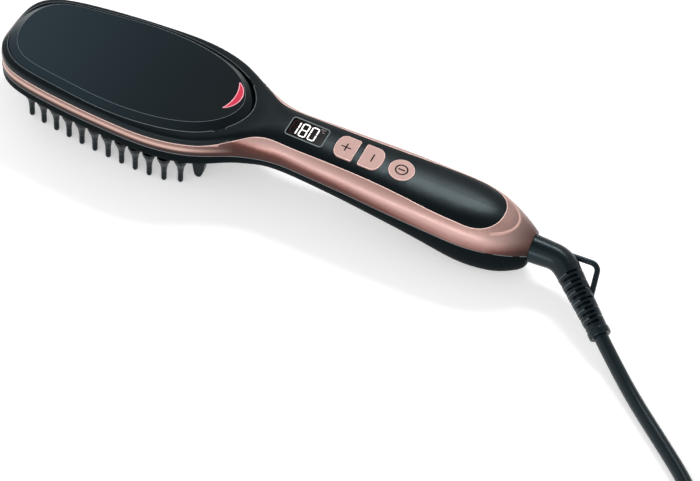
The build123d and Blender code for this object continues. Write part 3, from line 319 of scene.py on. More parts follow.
def mixed(tree, first, second, share=None):
    """Mix of two colours by a share, or their product where there is no share."""
    mix = tree.nodes.new("ShaderNodeMix")
    mix.data_type = "RGBA"
    if share is None:
        mix.blend_type = "MULTIPLY"
        mix.inputs["Factor"].default_value = 1.0
    else:
        tree.links.new(share, mix.inputs["Factor"])
    tree.links.new(first, mix.inputs["A"])
    tree.links.new(second, mix.inputs["B"])
    return mix.outputs["Result"]


def rose_gold():
    """Satin lacquer on the band, with a fine metallic flake, and painted highlight and shade:
    darker where the surface turns under, sooner at both ends of the handle, and low on the
    head, lighter in a band between."""
    m = finish("rose_gold", colour(189, 146, 138), 0.40, metallic=0.45)
    tree = m.node_tree
    coords = tree.nodes.new("ShaderNodeTexCoord")
    normal, spot = tree.nodes.new("ShaderNodeSeparateXYZ"), tree.nodes.new("ShaderNodeSeparateXYZ")
    tree.links.new(coords.outputs["Normal"], normal.inputs["Vector"])
    tree.links.new(coords.outputs["Object"], spot.inputs["Vector"])
    shift, lean = tree.nodes.new("ShaderNodeMath"), tree.nodes.new("ShaderNodeMath")
    shift.operation, shift.inputs[1].default_value = "SUBTRACT", LEAN_REST
    tree.links.new(ramp(tree, spot.outputs["X"], LEAN_SHIFT), shift.inputs[0])
    tree.links.new(shift.outputs["Value"], lean.inputs[0])
    tree.links.new(normal.outputs["Z"], lean.inputs[1])
    # painted highlight and shade on the handle's band, by how far the surface leans up
    handle = ramp(tree, lean.outputs["Value"], LEAN_PAINTED_LIGHT)
    # painted highlight and shade on the head's band, by height
    head = ramp(tree, spot.outputs["Z"], HEAD_PAINTED_LIGHT)
    tone = mixed(tree, head, handle, ramp(tree, spot.outputs["X"], HANDLE_SHARE))
    flake = noise(m, 0.22, 1.0)
    tone = mixed(tree, tone, ramp(tree, flake, FLAKE_TONES))
    # painted shade towards the handle's end
    tone = mixed(tree, tone, ramp(tree, spot.outputs["X"], END_PAINTED_SHADE))
    tree.links.new(tone, tree.nodes["Principled BSDF"].inputs["Base Color"])
    vary(m, "Roughness", noise(m, 9.0), 0.37, 0.43)
    grain(m, flake, 0.003)


def rose_caps():
    """The same lacquer on the buttons."""
    m = finish("rose_caps", colour(165, 134, 128), 0.5, metallic=0.15, Specular_IOR_Level=0.25)
    flake = noise(m, 0.22, 1.0)
    vary(m, "Base Color", flake, colour(175, 141, 134), colour(199, 163, 155))
    vary(m, "Roughness", noise(m, 5.0), 0.47, 0.53)
    grain(m, flake, 0.003)


def gloss_panel():
    """Head panel: polished and faintly wavy, with a painted sheen: blue-black at the tip to black
    at the neck.
    """
    m = finish("black_gloss", colour(16, 25, 31), 0.22, Specular_IOR_Level=0.22, Specular_Tint=COOL)
    tree = m.node_tree
    coords, split = tree.nodes.new("ShaderNodeTexCoord"), tree.nodes.new("ShaderNodeSeparateXYZ")
    tree.links.new(coords.outputs["Object"], split.inputs["Vector"])
    # painted sheen: lighter towards the tip
    tone = ramp(tree, split.outputs["X"], PANEL_PAINTED_SHEEN)
    tree.links.new(tone, tree.nodes["Principled BSDF"].inputs["Base Color"])
    vary(m, "Roughness", noise(m, 30.0), 0.20, 0.24)
    grain(m, noise(m, 18.0), 0.010)


def lit_lens():
    """Crescent light: glowing red, a little uneven."""
    glow = colour(226, 38, 80)
    m = finish("red_lens", colour(170, 16, 46), 0.25, Emission_Color=glow, Emission_Strength=0.35)
    vary(m, "Base Color", noise(m, 6.0), colour(150, 10, 38), colour(190, 34, 68))


def display_glass():
    """Tinted display window, faintly warmer in spots by noise."""
    m = finish("display_black", colour(9, 7, 8), 0.12, Specular_IOR_Level=0.07)
    vary(m, "Base Color", noise(m, 4.0), colour(7, 6, 7), colour(14, 7, 9))


def lit_white():
    """Lit segments of the display."""
    base, glow = colour(245, 240, 240), colour(255, 246, 246)
    m = finish("segment_white", base, 0.4, Emission_Color=glow, Emission_Strength=0.75)
    vary(m, "Roughness", noise(m, 1.0), 0.35, 0.45)


WHITE = (1.0, 1.0, 1.0, 1.0)
ROUGH_SPREAD = 0.05                    # how far a moulding's roughness wanders each way


def moulded(name, base, roughness, spots=0.5, depth=0.006, metallic=0.0, shine=0.5, tint=WHITE):
    """A plain moulded, coated or drawn finish, whose grain has spots this many millimetres
    across and this deep."""
    m = finish(name, base, roughness, metallic, Specular_IOR_Level=shine, Specular_Tint=tint)
    vary(m, "Roughness", noise(m, 8.0), roughness - ROUGH_SPREAD, roughness + ROUGH_SPREAD)
    grain(m, noise(m, spots), depth)


def ferrite_or_board(name, low, high, size, roughness):
    """A finish mottled between two colours."""
    m = finish(name, low, roughness)
    vary(m, "Base Color", noise(m, size, 4.0), low, high)
    grain(m, noise(m, size / 3), 0.01)


def make_finishes():
    """Every finish, under the name of its material slot or of the piece's own finish."""
    satin_black()
    shell_black()
    rose_gold()
    rose_caps()
    gloss_panel()
    lit_lens()
    display_glass()
    lit_white()
    moulded("clear_guide", colour(235, 235, 240), 0.2)
    moulded("black_bristle", colour(13, 19, 23), 0.24, spots=0.6, shine=0.22, tint=COOL)
    moulded("heated_metal", colour(62, 62, 64), 0.45, spots=0.3, depth=0.01)
    moulded("heater_foil", colour(208, 208, 212), 0.3, spots=1.2, depth=0.05, metallic=1.0)
    moulded("insulation", colour(224, 214, 190), 0.7, spots=1.5)
    moulded("spring_steel", colour(190, 192, 196), 0.3, metallic=1.0)
    moulded("fuse_metal", colour(205, 205, 208), 0.3, metallic=1.0)
    moulded("sensor_epoxy", colour(34, 34, 38), 0.5)
    moulded("white_plastic", colour(232, 232, 226), 0.45)
    moulded("black_plastic", colour(30, 30, 31), 0.5)
    ferrite_or_board("board_green", colour(14, 92, 52), colour(20, 110, 64), 2.0, 0.35)
    moulded("switch_metal", colour(196, 196, 198), 0.35, metallic=1.0)
    moulded("capacitor_yellow", colour(226, 176, 46), 0.4)
    ferrite_or_board("choke_ferrite", colour(46, 44, 42), colour(66, 62, 58), 0.8, 0.6)
    moulded("contact_brass", colour(214, 176, 98), 0.25, metallic=1.0)
    moulded("black_rubber", colour(16, 24, 29), 0.28, spots=0.4, depth=0.004, shine=0.32, tint=COOL)
    moulded("lead_silicone", colour(196, 58, 46), 0.5)
    moulded("lead_blue", colour(52, 78, 160), 0.45)
    moulded("cord_black", colour(16, 24, 28), 0.30, spots=0.8, shine=0.35, tint=COOL)
    moulded("tie_black", colour(22, 22, 24), 0.8, spots=0.25, depth=0.05)
    moulded("plug_nickel", colour(216, 214, 208), 0.2, metallic=1.0)
    # Light beads: painted highlights on edges, seams and ribs; the ridge's lighter rose is a
    # painted highlight on its lacquer.
    moulded("rose_edge_highlight", colour(250, 214, 204), 0.34, metallic=0.2)
    moulded("rose_ridge_highlight", colour(205, 163, 153), 0.5, metallic=0.2)
    moulded("light_grey_edge_highlight", colour(120, 126, 128), 0.35, metallic=0.2)
    moulded("mid_grey_edge_highlight", colour(92, 100, 104), 0.35)
    moulded("dark_grey_edge_highlight", colour(84, 96, 101), 0.35)
    moulded("frame_grey", colour(112, 124, 126), 0.4)
    moulded("sign_grey", colour(26, 22, 25), 0.5, shine=0.1)
    moulded("segment_dark", colour(40, 8, 14), 0.4, shine=0.05)
    moulded("segment_grey", colour(150, 132, 132), 0.4)
    moulded("lens_rim", colour(255, 170, 182), 0.35)


# Nodes whose finish differs from the rest of their material slot.
OWN_FINISH = {
    "plus_button": "rose_caps", "minus_button": "rose_caps", "power_button": "rose_caps",
    "lower_shell": "black_shell",
}


def dress_nodes():
    """Gives each CAD node its own finish or the finish of its material slot."""
    for part in frame["record"]["subparts"]:
        mesh = nodes[part["node"]].data
        mesh.materials.clear()
        mesh.materials.append(MATERIALS[OWN_FINISH.get(part["node"], part["material_slot"])])


# -------------------------------------------------------------------- surfaces and lines
def surface(name, grid, finish_name, body, wrap=(False, False)):
    """Mesh of a grid of points (rows, columns, 3), closed on itself where wrap says so."""
    rows, columns = grid.shape[:2]
    i, j = np.indices((rows - 1 + wrap[0], columns - 1 + wrap[1]))
    k, m = (i + 1) % rows, (j + 1) % columns
    quads = np.stack([i * columns + j, i * columns + m, k * columns + m, k * columns + j], axis=-1)
    mesh = bpy.data.meshes.new(name)
    mesh.from_pydata(grid.reshape(-1, 3).tolist(), [], quads.reshape(-1, 4).tolist())
    mesh.shade_smooth()
    return place(name, mesh, finish_name, body)


def place(name, mesh, finish_name, body):
    """Links a finished mesh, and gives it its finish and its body."""
    piece = bpy.data.objects.new(name, mesh)
    bpy.context.collection.objects.link(piece)
    mesh.materials.append(MATERIALS[finish_name])
    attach(piece, body)
    return piece


def even(path, step, closed=True):
    """The same line with its points a step apart, by running length."""
    if closed:
        path = np.vstack([path, path[:1]])
    run = np.concatenate([[0], np.cumsum(np.linalg.norm(np.diff(path, axis=0), axis=1))])
    count = max(8, int(run[-1] / step))
    at = np.linspace(0, run[-1], count, endpoint=not closed)
    return np.stack([np.interp(at, run, path[:, k]) for k in range(3)], axis=1)


def bead(name, path, r, finish_name, body, closed=True, sides=8):
    """Thin round bead along a line: at each point a circle of radius r stands square to
    the line, which never runs upright."""
    along = np.roll(path, -1, axis=0) - np.roll(path, 1, axis=0)
    if not closed:
        along[0], along[-1] = path[1] - path[0], path[-1] - path[-2]
    along /= np.linalg.norm(along, axis=1, keepdims=True)
    side = np.cross(along, (0.0, 0.0, 1.0))
    side /= np.linalg.norm(side, axis=1, keepdims=True)
    lift = np.cross(side, along)
    angle = np.linspace(0, 2 * pi, sides, endpoint=False)
    ring = np.cos(angle)[:, None] * side[:, None] + np.sin(angle)[:, None] * lift[:, None]
    return surface(name, path[:, None] + r * ring, finish_name, body, wrap=(closed, True))


def welded(node):
    """A CAD node's points, welded to a hundredth of a millimetre, and its triangles."""
    mesh = nodes[node].data
    spots = np.empty(len(mesh.vertices) * 3)
    mesh.vertices.foreach_get("co", spots)
    spots, index = np.unique(np.round(spots.reshape(-1, 3), 5), axis=0, return_inverse=True)
    mesh.calc_loop_triangles()
    corners = np.empty(len(mesh.loop_triangles) * 3, dtype=int)
    mesh.loop_triangles.foreach_get("vertices", corners)
    return spots, index.ravel()[corners].reshape(-1, 3)


def corner_points(node, wanted):
    """Points on a CAD node's corners: an edge between two of its triangles counts where
    wanted(middle, normal, other normal) says so."""
    spots, faces = welded(node)
    a, b, c = (spots[faces[:, k]] for k in range(3))
    normals = np.cross(b - a, c - a)
    size = np.linalg.norm(normals, axis=1)
    faces, normals = faces[size > 0], normals[size > 0] / size[size > 0, None]
    edges = np.sort(np.vstack([faces[:, [0, 1]], faces[:, [1, 2]], faces[:, [2, 0]]]), axis=1)
    owner = np.tile(np.arange(len(faces)), 3)
    order = np.lexsort((edges[:, 1], edges[:, 0]))
    edges, owner = edges[order], owner[order]
    twin = np.where((edges[1:] == edges[:-1]).all(axis=1))[0]
    middle = spots[edges[twin]].mean(axis=1)
    n1, n2 = normals[owner[twin]], normals[owner[twin + 1]]
    keep = wanted(middle, n1, n2) | wanted(middle, n2, n1)
    return spots[np.unique(edges[twin][keep])]


def hull(points):
    """The points on the outline of a flat convex set, in order round it."""
    order = convex_hull_2d([Vector(point[:2]) for point in points])
    return points[order]


def ring_by_halves(points):
    """A closed line from points that run once along +X on each side of the middle."""
    order = points[:, 0] + 0.001 * np.abs(points[:, 1])
    right, left = points[:, 1] >= 0, points[:, 1] < 0
    there = points[right][np.argsort(order[right])]
    back = points[left][np.argsort(-order[left])]
    return np.vstack([there, back])


# What tells an edge from the others: its place in metres, and its two faces' normals.
BAND_AXIS_Z = 0.025              # a line inside the brush that outer faces look away from
OUTER, TIP_OUTER = 0.35, -0.6    # least share of a normal away from it; or towards the tip
LEVEL, UPRIGHT = 0.8, 0.05       # a level normal's least rise, and an upright face's most
SAME_WAY = 0.85                  # no edge where the dot product of the normals is above this
UNDER, OVER = -0.7, 0.4          # least rise of the outer face at the lower seam, at the pocket
UPPER_RIM_Z, UPPER_RIM_END_Z = 0.0333, 0.0325     # the second past UPPER_RIM_END_X
UPPER_RIM_END_X = 0.105
LOWER_RIM_END_X = 0.1403
POCKET_X, POCKET_Y, POCKET_Z = (-0.1385, -0.0075), 0.0315, 0.0364


def outward(middle, normal):
    """True for faces of the band's outer side."""
    radial = middle[:, 1:] - (0.0, BAND_AXIS_Z)
    radial /= np.linalg.norm(radial, axis=1, keepdims=True)
    return ((normal[:, 1:] * radial).sum(axis=1) > OUTER) | (normal[:, 0] < TIP_OUTER)


def upper_rim(middle, normal, other):
    """Band edges between its outer side and the face that meets the black top."""
    inner = (np.abs(other[:, 2]) < UPRIGHT) & (other[:, 1] * middle[:, 1] <= 0)
    seat = (other[:, 2] > LEVEL) | inner
    seat &= (middle[:, 2] > UPPER_RIM_Z) | (middle[:, 0] > UPPER_RIM_END_X)
    sharp = np.abs((normal * other).sum(axis=1)) < SAME_WAY
    return outward(middle, normal) & seat & (middle[:, 2] > UPPER_RIM_END_Z) & sharp


def lower_rim(middle, normal, other):
    """Band edges between its outer side and the face that meets the lower shell."""
    seat = (other[:, 2] < -LEVEL) & (normal[:, 2] > UNDER)
    return outward(middle, normal) & seat & (middle[:, 0] < LOWER_RIM_END_X)


def pocket_rim(middle, normal, other):
    """Housing edges where its top breaks off into the panel's pocket."""
    inside = (middle[:, 0] > POCKET_X[0]) & (middle[:, 0] < POCKET_X[1])
    inside &= (np.abs(middle[:, 1]) < POCKET_Y) & (middle[:, 2] > POCKET_Z)
    return inside & (normal[:, 2] > OVER) & (np.abs(other[:, 2]) < UPRIGHT)


SEAM_STEP = 0.8 * MM             # between a seam line's points
SEAM_R, LOWER_SEAM_R = 0.2 * MM, 0.16 * MM
PANEL_EDGE_R, PANEL_EDGE_SUNK = 0.14 * MM, 0.1 * MM
TIP_X = -60.0 * MM               # the band's outline is convex on the tip's side of this
FOOT_X, FOOT_Z = 0.11, 0.0235    # past this place the lower seam lies under this height
EXIT_X, EXIT_Y = 0.1395, 0.0078  # the lower seam stops beside the elbow
PANEL_TOP = 40.9 * MM
PANEL_MIDDLE_X = -73.0 * MM
RIM_DRAWN_IN = 0.035             # keeps a button's rim clear of its opening
RIM_LIFT = 0.08 * MM


def band_edge_highlights():
    """Painted highlights along the band's upper edge, where a smooth step carries them over the
    climb, and along its lower edge, open at the elbow: thin light beads."""
    points = corner_points("trim_band", upper_rim)
    tip = points[:, 0] < TIP_X
    points = np.vstack([hull(points[tip]), points[~tip]])
    path = even(ring_by_halves(points), SEAM_STEP)
    start, end = SEAM_X[0] * MM, SEAM_X[1] * MM
    low = path[np.abs(path[:, 0] - start).argmin(), 2]
    high = path[np.abs(path[:, 0] - end).argmin(), 2]
    share = np.clip((path[:, 0] - start) / (end - start), 0, 1)
    rise = low + (high - low) * share * share * (3 - 2 * share)
    climbing = (share > 0) & (share < 1)
    path[climbing, 2] = rise[climbing]
    bead("band_upper_edge", path, SEAM_R, "rose_edge_highlight", "handle")

    points = corner_points("trim_band", lower_rim)
    points = points[(points[:, 0] < FOOT_X) | (points[:, 2] < FOOT_Z)]
    path = even(ring_by_halves(points), SEAM_STEP)
    path = np.roll(path, -path[:, 0].argmax(), axis=0)
    path = path[(path[:, 0] < EXIT_X) | (np.abs(path[:, 1]) > EXIT_Y)]
    start = np.linalg.norm(path - np.roll(path, 1, axis=0), axis=1).argmax()
    path = np.roll(path, -start, axis=0)
    bead(
        "band_lower_edge", path, LOWER_SEAM_R, "light_grey_edge_highlight", "handle",
        closed=False,
    )


def panel_edge_highlights():
    """Painted highlights round the panel's flat top and round the pocket in which it sits, as thin
    light beads, the second smoothed by the mean of five neighbours."""
    panel = welded("head_panel")[0]
    level = panel[np.abs(panel[:, 2] - PANEL_TOP) < 0.02 * MM]
    path = even(hull(level), SEAM_STEP)
    path[:, 2] -= PANEL_EDGE_SUNK
    bead("panel_top_edge", path, PANEL_EDGE_R, "dark_grey_edge_highlight", "handle")
    rim = corner_points("top_housing", pocket_rim)
    rim = even(rim[np.argsort(np.arctan2(rim[:, 1], rim[:, 0] - PANEL_MIDDLE_X))], SEAM_STEP)
    rim = np.mean([np.roll(rim, shift, axis=0) for shift in (-2, -1, 0, 1, 2)], axis=0)
    rim[:, 2] += RIM_LIFT
    bead("panel_pocket_edge", rim, SEAM_R, "mid_grey_edge_highlight", "handle")


def button_rim_highlights():
    """Painted highlight on the bevel round each button: a bright bead on its outline where it
    enters the handle's top, drawn in a little towards its middle."""
    for name in ("plus", "minus", "power"):
        cap = welded(name + "_button")[0]
        height = (cap[:, 2] - DISPLAY_AT[2]) * cos(HANDLE_SLOPE)
        height += (cap[:, 0] - DISPLAY_AT[0]) * sin(HANDLE_SLOPE)
        level = cap[np.abs(height) < 0.03 * MM]
        path = even(hull(level), 0.4 * MM)
        path += (path.mean(axis=0) - path) * RIM_DRAWN_IN
        path[:, 2] += RIM_LIFT
        bead(name + "_rim", path, SEAM_R, "rose_edge_highlight", name + "_button")


# -------------------------------------------------------------------- signs on the handle
def on_handle(u, v, w):
    """Points of the handle's top: u along it from the display, v across, w above it."""
    x = DISPLAY_AT[0] + u * cos(HANDLE_SLOPE) + w * sin(HANDLE_SLOPE)
    z = DISPLAY_AT[2] - u * sin(HANDLE_SLOPE) + w * cos(HANDLE_SLOPE)
    return np.stack(np.broadcast_arrays(x, v, z), axis=-1)


def bar(u0, v0, u1, v1, width, low, high):
    """Flat bar from one point to another with pointed ends: its six corners as a low ring
    and a high ring on the handle's top."""
    along = np.array([u1 - u0, v1 - v0])
    along /= np.linalg.norm(along)
    across = np.array([-along[1], along[0]]) * width / 2
    start, end = np.array([u0, v0]), np.array([u1, v1])
    tip = along * width / 2
    flat = np.array([
        start - tip, start - across, end - across, end + tip, end + across, start + across,
    ])
    return np.concatenate([on_handle(*flat.T, low), on_handle(*flat.T, high)])


def prisms(name, bars, finish_name, body):
    """One mesh of several bars: each has its low ring and its high ring as end faces, and
    a quad between each two neighbours of the one and the same two of the other."""
    bars = np.array(bars)
    low = np.arange(bars.shape[1] // 2)
    high, beside = low + len(low), np.roll(low, -1)
    walls = np.stack([low, beside, beside + len(low), high], axis=1)
    first = bars.shape[1] * np.arange(len(bars))[:, None]
    ends = np.vstack([low[::-1] + first, high + first])
    walls = (walls + first[:, None]).reshape(-1, 4)
    mesh = bpy.data.meshes.new(name)
    mesh.from_pydata(bars.reshape(-1, 3).tolist(), [], ends.tolist() + walls.tolist())
    return place(name, mesh, finish_name, body)


DIGIT_W, DIGIT_H = 3.2 * MM, 8.2 * MM
DIGIT_PITCH = 4.8 * MM
LAST_DIGIT_U = 3.1 * MM
STROKE = 0.66 * MM
SEGMENT_GAP = 0.1 * MM
FIGURES_LOW, FIGURES_HIGH = -0.22 * MM, -0.16 * MM      # in the window, under the handle's top
# Ends of a digit's seven bars in its own half widths and half heights.
SEGMENTS = {
    "top": (-1, 1, 1, 1), "high_right": (1, 1, 1, 0), "low_right": (1, 0, 1, -1),
    "bottom": (-1, -1, 1, -1), "low_left": (-1, 0, -1, -1), "high_left": (-1, 1, -1, 0),
    "middle": (-1, 0, 1, 0),
}
DIGITS = {
    "1": ("high_right", "low_right"),
    "8": tuple(SEGMENTS),
    "0": ("top", "high_right", "low_right", "bottom", "low_left", "high_left"),
}


def digit_bars(column, segments, high):
    """Bars of one digit; the column counts back from the last digit."""
    bars = []
    centre = LAST_DIGIT_U - column * DIGIT_PITCH
    for segment in segments:
        u0, v0, u1, v1 = np.array(SEGMENTS[segment]) * (DIGIT_W, DIGIT_H, DIGIT_W, DIGIT_H) / 2
        along = np.array([u1 - u0, v1 - v0])
        short = along / np.linalg.norm(along) * (STROKE / 2 + SEGMENT_GAP)
        start = centre + u0 + short[0], v0 + short[1]
        end = centre + u1 - short[0], v1 - short[1]
        bars.append(bar(*start, *end, STROKE, FIGURES_LOW, high))
    return bars


# Ring and letter of the degree mark, in millimetres: middle, reach along and across, first
# and last angle, width of the stroke. Then the radius of the frame's bead.
DEGREE_MARK = [
    ((5.75, 4.75), (0.4, 0.4), (0, 360), 0.2),
    ((7.2, 3.85), (0.75, 1.0), (50, 310), 0.3),
]
FRAME_R = 0.28 * MM


def curved_stroke(middle, reach, angles, width):
    """Eight bars from point to point of an oval arc."""
    turn = np.radians(np.linspace(*angles, 9))
    u = (middle[0] + reach[0] * np.cos(turn)) * MM
    v = (middle[1] + reach[1] * np.sin(turn)) * MM
    ends = zip(u, v, u[1:], v[1:])
    return [bar(*points, width * MM, FIGURES_LOW, FIGURES_HIGH) for points in ends]


def make_display():
    """Lit figures 180 over their unlit segments, a small degree C, and a grey frame: a
    rounded rectangle, each of its corners a quarter of a circle."""
    lit, unlit = [], []
    for column, digit in enumerate("081"):
        dark = [name for name in SEGMENTS if name not in DIGITS[digit]]
        lit += digit_bars(column, DIGITS[digit], FIGURES_HIGH)
        unlit += digit_bars(column, dark, FIGURES_HIGH - 0.03 * MM)
    prisms("display_figures", lit, "segment_white", "handle")
    prisms("display_unlit", unlit, "segment_dark", "handle")
    mark = [stroke for row in DEGREE_MARK for stroke in curved_stroke(*row)]
    prisms("display_degree", mark, "segment_grey", "handle")

    quarter = np.radians(np.linspace(0, 90, 7))
    a, b, r = DISPLAY_SIZE[0] / 2, DISPLAY_SIZE[1] / 2, DISPLAY_CORNER
    u = np.concatenate([
        a - r + r * np.cos(quarter), -(a - r) - r * np.sin(quarter),
        -(a - r) - r * np.cos(quarter), a - r + r * np.sin(quarter),
    ])
    v = np.concatenate([
        b - r + r * np.sin(quarter), b - r + r * np.cos(quarter),
        -(b - r) - r * np.sin(quarter), -(b - r) - r * np.cos(quarter),
    ])
    path = even(on_handle(u, v, -0.14 * MM), 0.5 * MM)
    bead("display_frame", path, FRAME_R, "frame_grey", "handle")


SIGN_ARM, SIGN_STROKE = 2.3 * MM, 0.7 * MM
POWER_ARM, POWER_STROKE = 1.55 * MM, 0.8 * MM
POWER_RING = (2.55 * MM, 3.3 * MM)


def make_signs():
    """Plus, dash, and ring with a dash, printed on the three buttons. The ring's section
    is a rectangle turned about the button's axis."""
    low, high = BUTTON_PROUD - 0.03 * MM, BUTTON_PROUD + 0.04 * MM
    plus = [
        bar(PLUS_X - SIGN_ARM, 0, PLUS_X + SIGN_ARM, 0, SIGN_STROKE, low, high),
        bar(PLUS_X, -SIGN_ARM, PLUS_X, SIGN_ARM, SIGN_STROKE, low, high + 0.01 * MM),
    ]
    prisms("plus_sign", plus, "sign_grey", "plus_button")
    dash = [bar(MINUS_X, -SIGN_ARM, MINUS_X, SIGN_ARM, SIGN_STROKE, low, high)]
    prisms("minus_sign", dash, "sign_grey", "minus_button")
    dash = [bar(POWER_X - POWER_ARM, 0, POWER_X + POWER_ARM, 0, POWER_STROKE, low, high)]
    prisms("power_dash", dash, "sign_grey", "power_button")
    angle = np.linspace(0, 2 * pi, 48, endpoint=False)
    r = np.repeat(POWER_RING, 2)[:, None]
    w = np.array([low, high, high, low])[:, None]
    ring = on_handle(POWER_X + r * np.cos(angle), r * np.sin(angle), w)
    ring = surface("power_ring", ring, "sign_grey", "power_button", wrap=(True, True))
    ring.data.shade_flat()


# Collar of a bristle from its stem up into the frame: radius and height, in millimetres.
COLLAR_FORM = [
    (1.2, 6.4), (1.46, 7.2), (1.55, 8.5), (1.8, 10.4), (2.25, 12.2), (2.95, 14.0), (3.5, 15.6),
    (3.6, 17.4),
]
BRISTLE_GAP = 3.0 * MM


def make_bristles():
    """Trumpet-shaped collars of the outer bristles: the profile turned about each
    bristle's axis, which is the middle of its lowest points."""
    spots = welded("bristle_frame")[0]
    low = spots[spots[:, 2] < 0.02 * MM][:, :2]
    axes = []
    for row in (low[low[:, 1] < 0], low[low[:, 1] > 0]):
        row = row[np.argsort(row[:, 0])]
        tips = np.split(row, np.where(np.diff(row[:, 0]) > BRISTLE_GAP)[0] + 1)
        axes += [(tip.min(axis=0) + tip.max(axis=0)) / 2 for tip in tips]
    profile = np.array(COLLAR_FORM) * MM
    angle = np.linspace(0, 2 * pi, 24, endpoint=False)
    ring = np.stack([np.cos(angle), np.sin(angle)], axis=1)
    for number, axis in enumerate(axes, start=1):
        flat = axis + profile[:, None, :1] * ring
        height = np.broadcast_to(profile[:, None, 1:], flat[:, :, :1].shape)
        grid = np.concatenate([flat, height], axis=2)
        name = f"bristle_collar_{number:02d}"
        surface(name, grid, "black_bristle", "handle", wrap=(False, True))


# Strain relief and loop beyond the handle's end, in millimetres.
HANDLE_END_X = 140.5
ELBOW_TURN, ELBOW_ROLL = radians(43), radians(18)
ELBOW_CORNER = 15.5
RELIEF_START, RELIEF_END = 5.5, 43.0
RELIEF_R = (6.45, 4.9)
SWIVEL_Z = 18.5


def bend_plane(x, t):
    """Point in the elbow's plane, in metres: x beyond the handle's end, t to the side."""
    spot = [HANDLE_END_X + x, -t * cos(ELBOW_ROLL), SWIVEL_Z - t * sin(ELBOW_ROLL)]
    return np.array(spot) * MM


def relief_ring(s, angles):
    """Points round the strain relief at s along it; angle 0 is the loop's side."""
    r = np.interp(s, (RELIEF_START, RELIEF_END), RELIEF_R)
    centre = bend_plane(ELBOW_CORNER + s * cos(ELBOW_TURN), s * sin(ELBOW_TURN))
    out = bend_plane(sin(ELBOW_TURN), -cos(ELBOW_TURN)) - bend_plane(0, 0)
    up = np.array([0, -sin(ELBOW_ROLL), cos(ELBOW_ROLL)]) * MM
    return centre + r * (np.cos(angles)[:, None] * out + np.sin(angles)[:, None] * up)


LOOP_POINTS = [(14.0, -3.3), (32.55, -3.95), (35.5, 14.8)]      # in the elbow's plane
LOOP_ROD_R = 1.4 * MM
LOOP_BEND = 4.2 * MM


def make_loop():
    """Hanging loop: a round rod along two straight runs and the arc between them, whose
    points are weighed from its first and last radius by sines of the angle."""
    start, corner, end = (bend_plane(*point) for point in LOOP_POINTS)
    back, on = start - corner, end - corner
    back, on = back / np.linalg.norm(back), on / np.linalg.norm(on)
    half = np.arccos(back @ on) / 2
    reach = LOOP_BEND / np.tan(half)
    middle = (back + on) / np.linalg.norm(back + on)
    centre = corner + middle * LOOP_BEND / sin(half)
    first, last = corner + back * reach - centre, corner + on * reach - centre
    turn = pi - 2 * half
    share = np.linspace(0, 1, 12)[:, None]
    bend = centre + (np.sin((1 - share) * turn) * first + np.sin(share * turn) * last) / sin(turn)
    path = np.vstack([start, bend, end])
    rod = bead(
        "hanging_loop_rod", path, LOOP_ROD_R, "black_rubber", "swivel",
        closed=False, sides=20,
    )
    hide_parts("hanging_loop")
    return rod


RIBS, RIB_START, RIB_PITCH = 6, 9.5, 4.9       # one at each slot, in millimetres along it
RIB_ANGLES, RIB_R = (112, 215), 0.16 * MM


def make_relief_rib_highlights():
    """Painted highlights on the edges of the strain relief's ribs: light beads, each an arc of a
    circle square to it.
    """
    angles = np.radians(np.linspace(*RIB_ANGLES, 24))
    for number in range(RIBS):
        rib = relief_ring(RIB_START + RIB_PITCH * number, angles)
        # each is a painted highlight along a rib's edge
        name = f"relief_rib_{number + 1}"
        bead(name, rib, RIB_R, "dark_grey_edge_highlight", "swivel", closed=False)


# The crescent light's points, and the middles of its outer and inner bow, in millimetres.
CRESCENT_ENDS = ((-21.3, -5.8), (-21.3, 13.0))
CRESCENT_BOWS = ((-15.9, 3.0), (-19.1, 3.0))
LENS_RIM_Z = 40.56
LENS_RIM_R = 0.42 * MM


def arc(start, through, end, count):
    """Circle arc through three flat points: its centre is where the two chords' middle
    lines meet, and the angle runs evenly from start past through to end."""
    (ax, ay), (bx, by), (cx, cy) = start, through, end
    d = 2 * (ax * (by - cy) + bx * (cy - ay) + cx * (ay - by))
    sa, sb, sc = ax * ax + ay * ay, bx * bx + by * by, cx * cx + cy * cy
    ox = (sa * (by - cy) + sb * (cy - ay) + sc * (ay - by)) / d
    oy = (sa * (cx - bx) + sb * (ax - cx) + sc * (bx - ax)) / d
    angles = np.unwrap([np.arctan2(y - oy, x - ox) for x, y in (start, through, end)])
    a = np.linspace(angles[0], angles[2], count)
    r = np.hypot(ax - ox, ay - oy)
    return np.stack([ox + r * np.cos(a), oy + r * np.sin(a)], axis=1)


RIDGE_MIDDLE_X = 104.0 * MM
RIDGE_R, RIDGE_PROUD = 1.0 * MM, 0.14 * MM
RIDGE_REACH = (27.6 * MM, 15.5 * MM)
RIDGE_ANGLES, RIDGE_POINTS = (-50, 56), 60
RIDGE_ENDS_SUNK = 0.25           # how far its ends lie under the band, as a share of proud
ABOVE_BRUSH = 60.0 * MM


def make_ridge():
    """Soft ridge on the band round the end of the black tongue: half an oval in plan,
    dropped on to the band, where a mostly sunk rod stands proud by a sine that ends below."""
    turn = np.radians(np.linspace(*RIDGE_ANGLES, RIDGE_POINTS))
    x = RIDGE_MIDDLE_X + RIDGE_REACH[0] * np.cos(turn)
    y = RIDGE_REACH[1] * np.sin(turn)
    drop = nodes["trim_band"].ray_cast
    height = np.array([drop((*spot, ABOVE_BRUSH), (0, 0, -1))[1][2] for spot in zip(x, y)])
    swell = np.sin(np.linspace(0, pi, RIDGE_POINTS)) ** 0.6
    proud = RIDGE_PROUD * ((1 + RIDGE_ENDS_SUNK) * swell - RIDGE_ENDS_SUNK)
    path = np.stack([x, y, height - RIDGE_R + proud], axis=1)
    # the ridge's rose is lighter than the band's as a painted highlight
    bead("end_ridge", path, RIDGE_R, "rose_ridge_highlight", "handle", closed=False, sides=40)


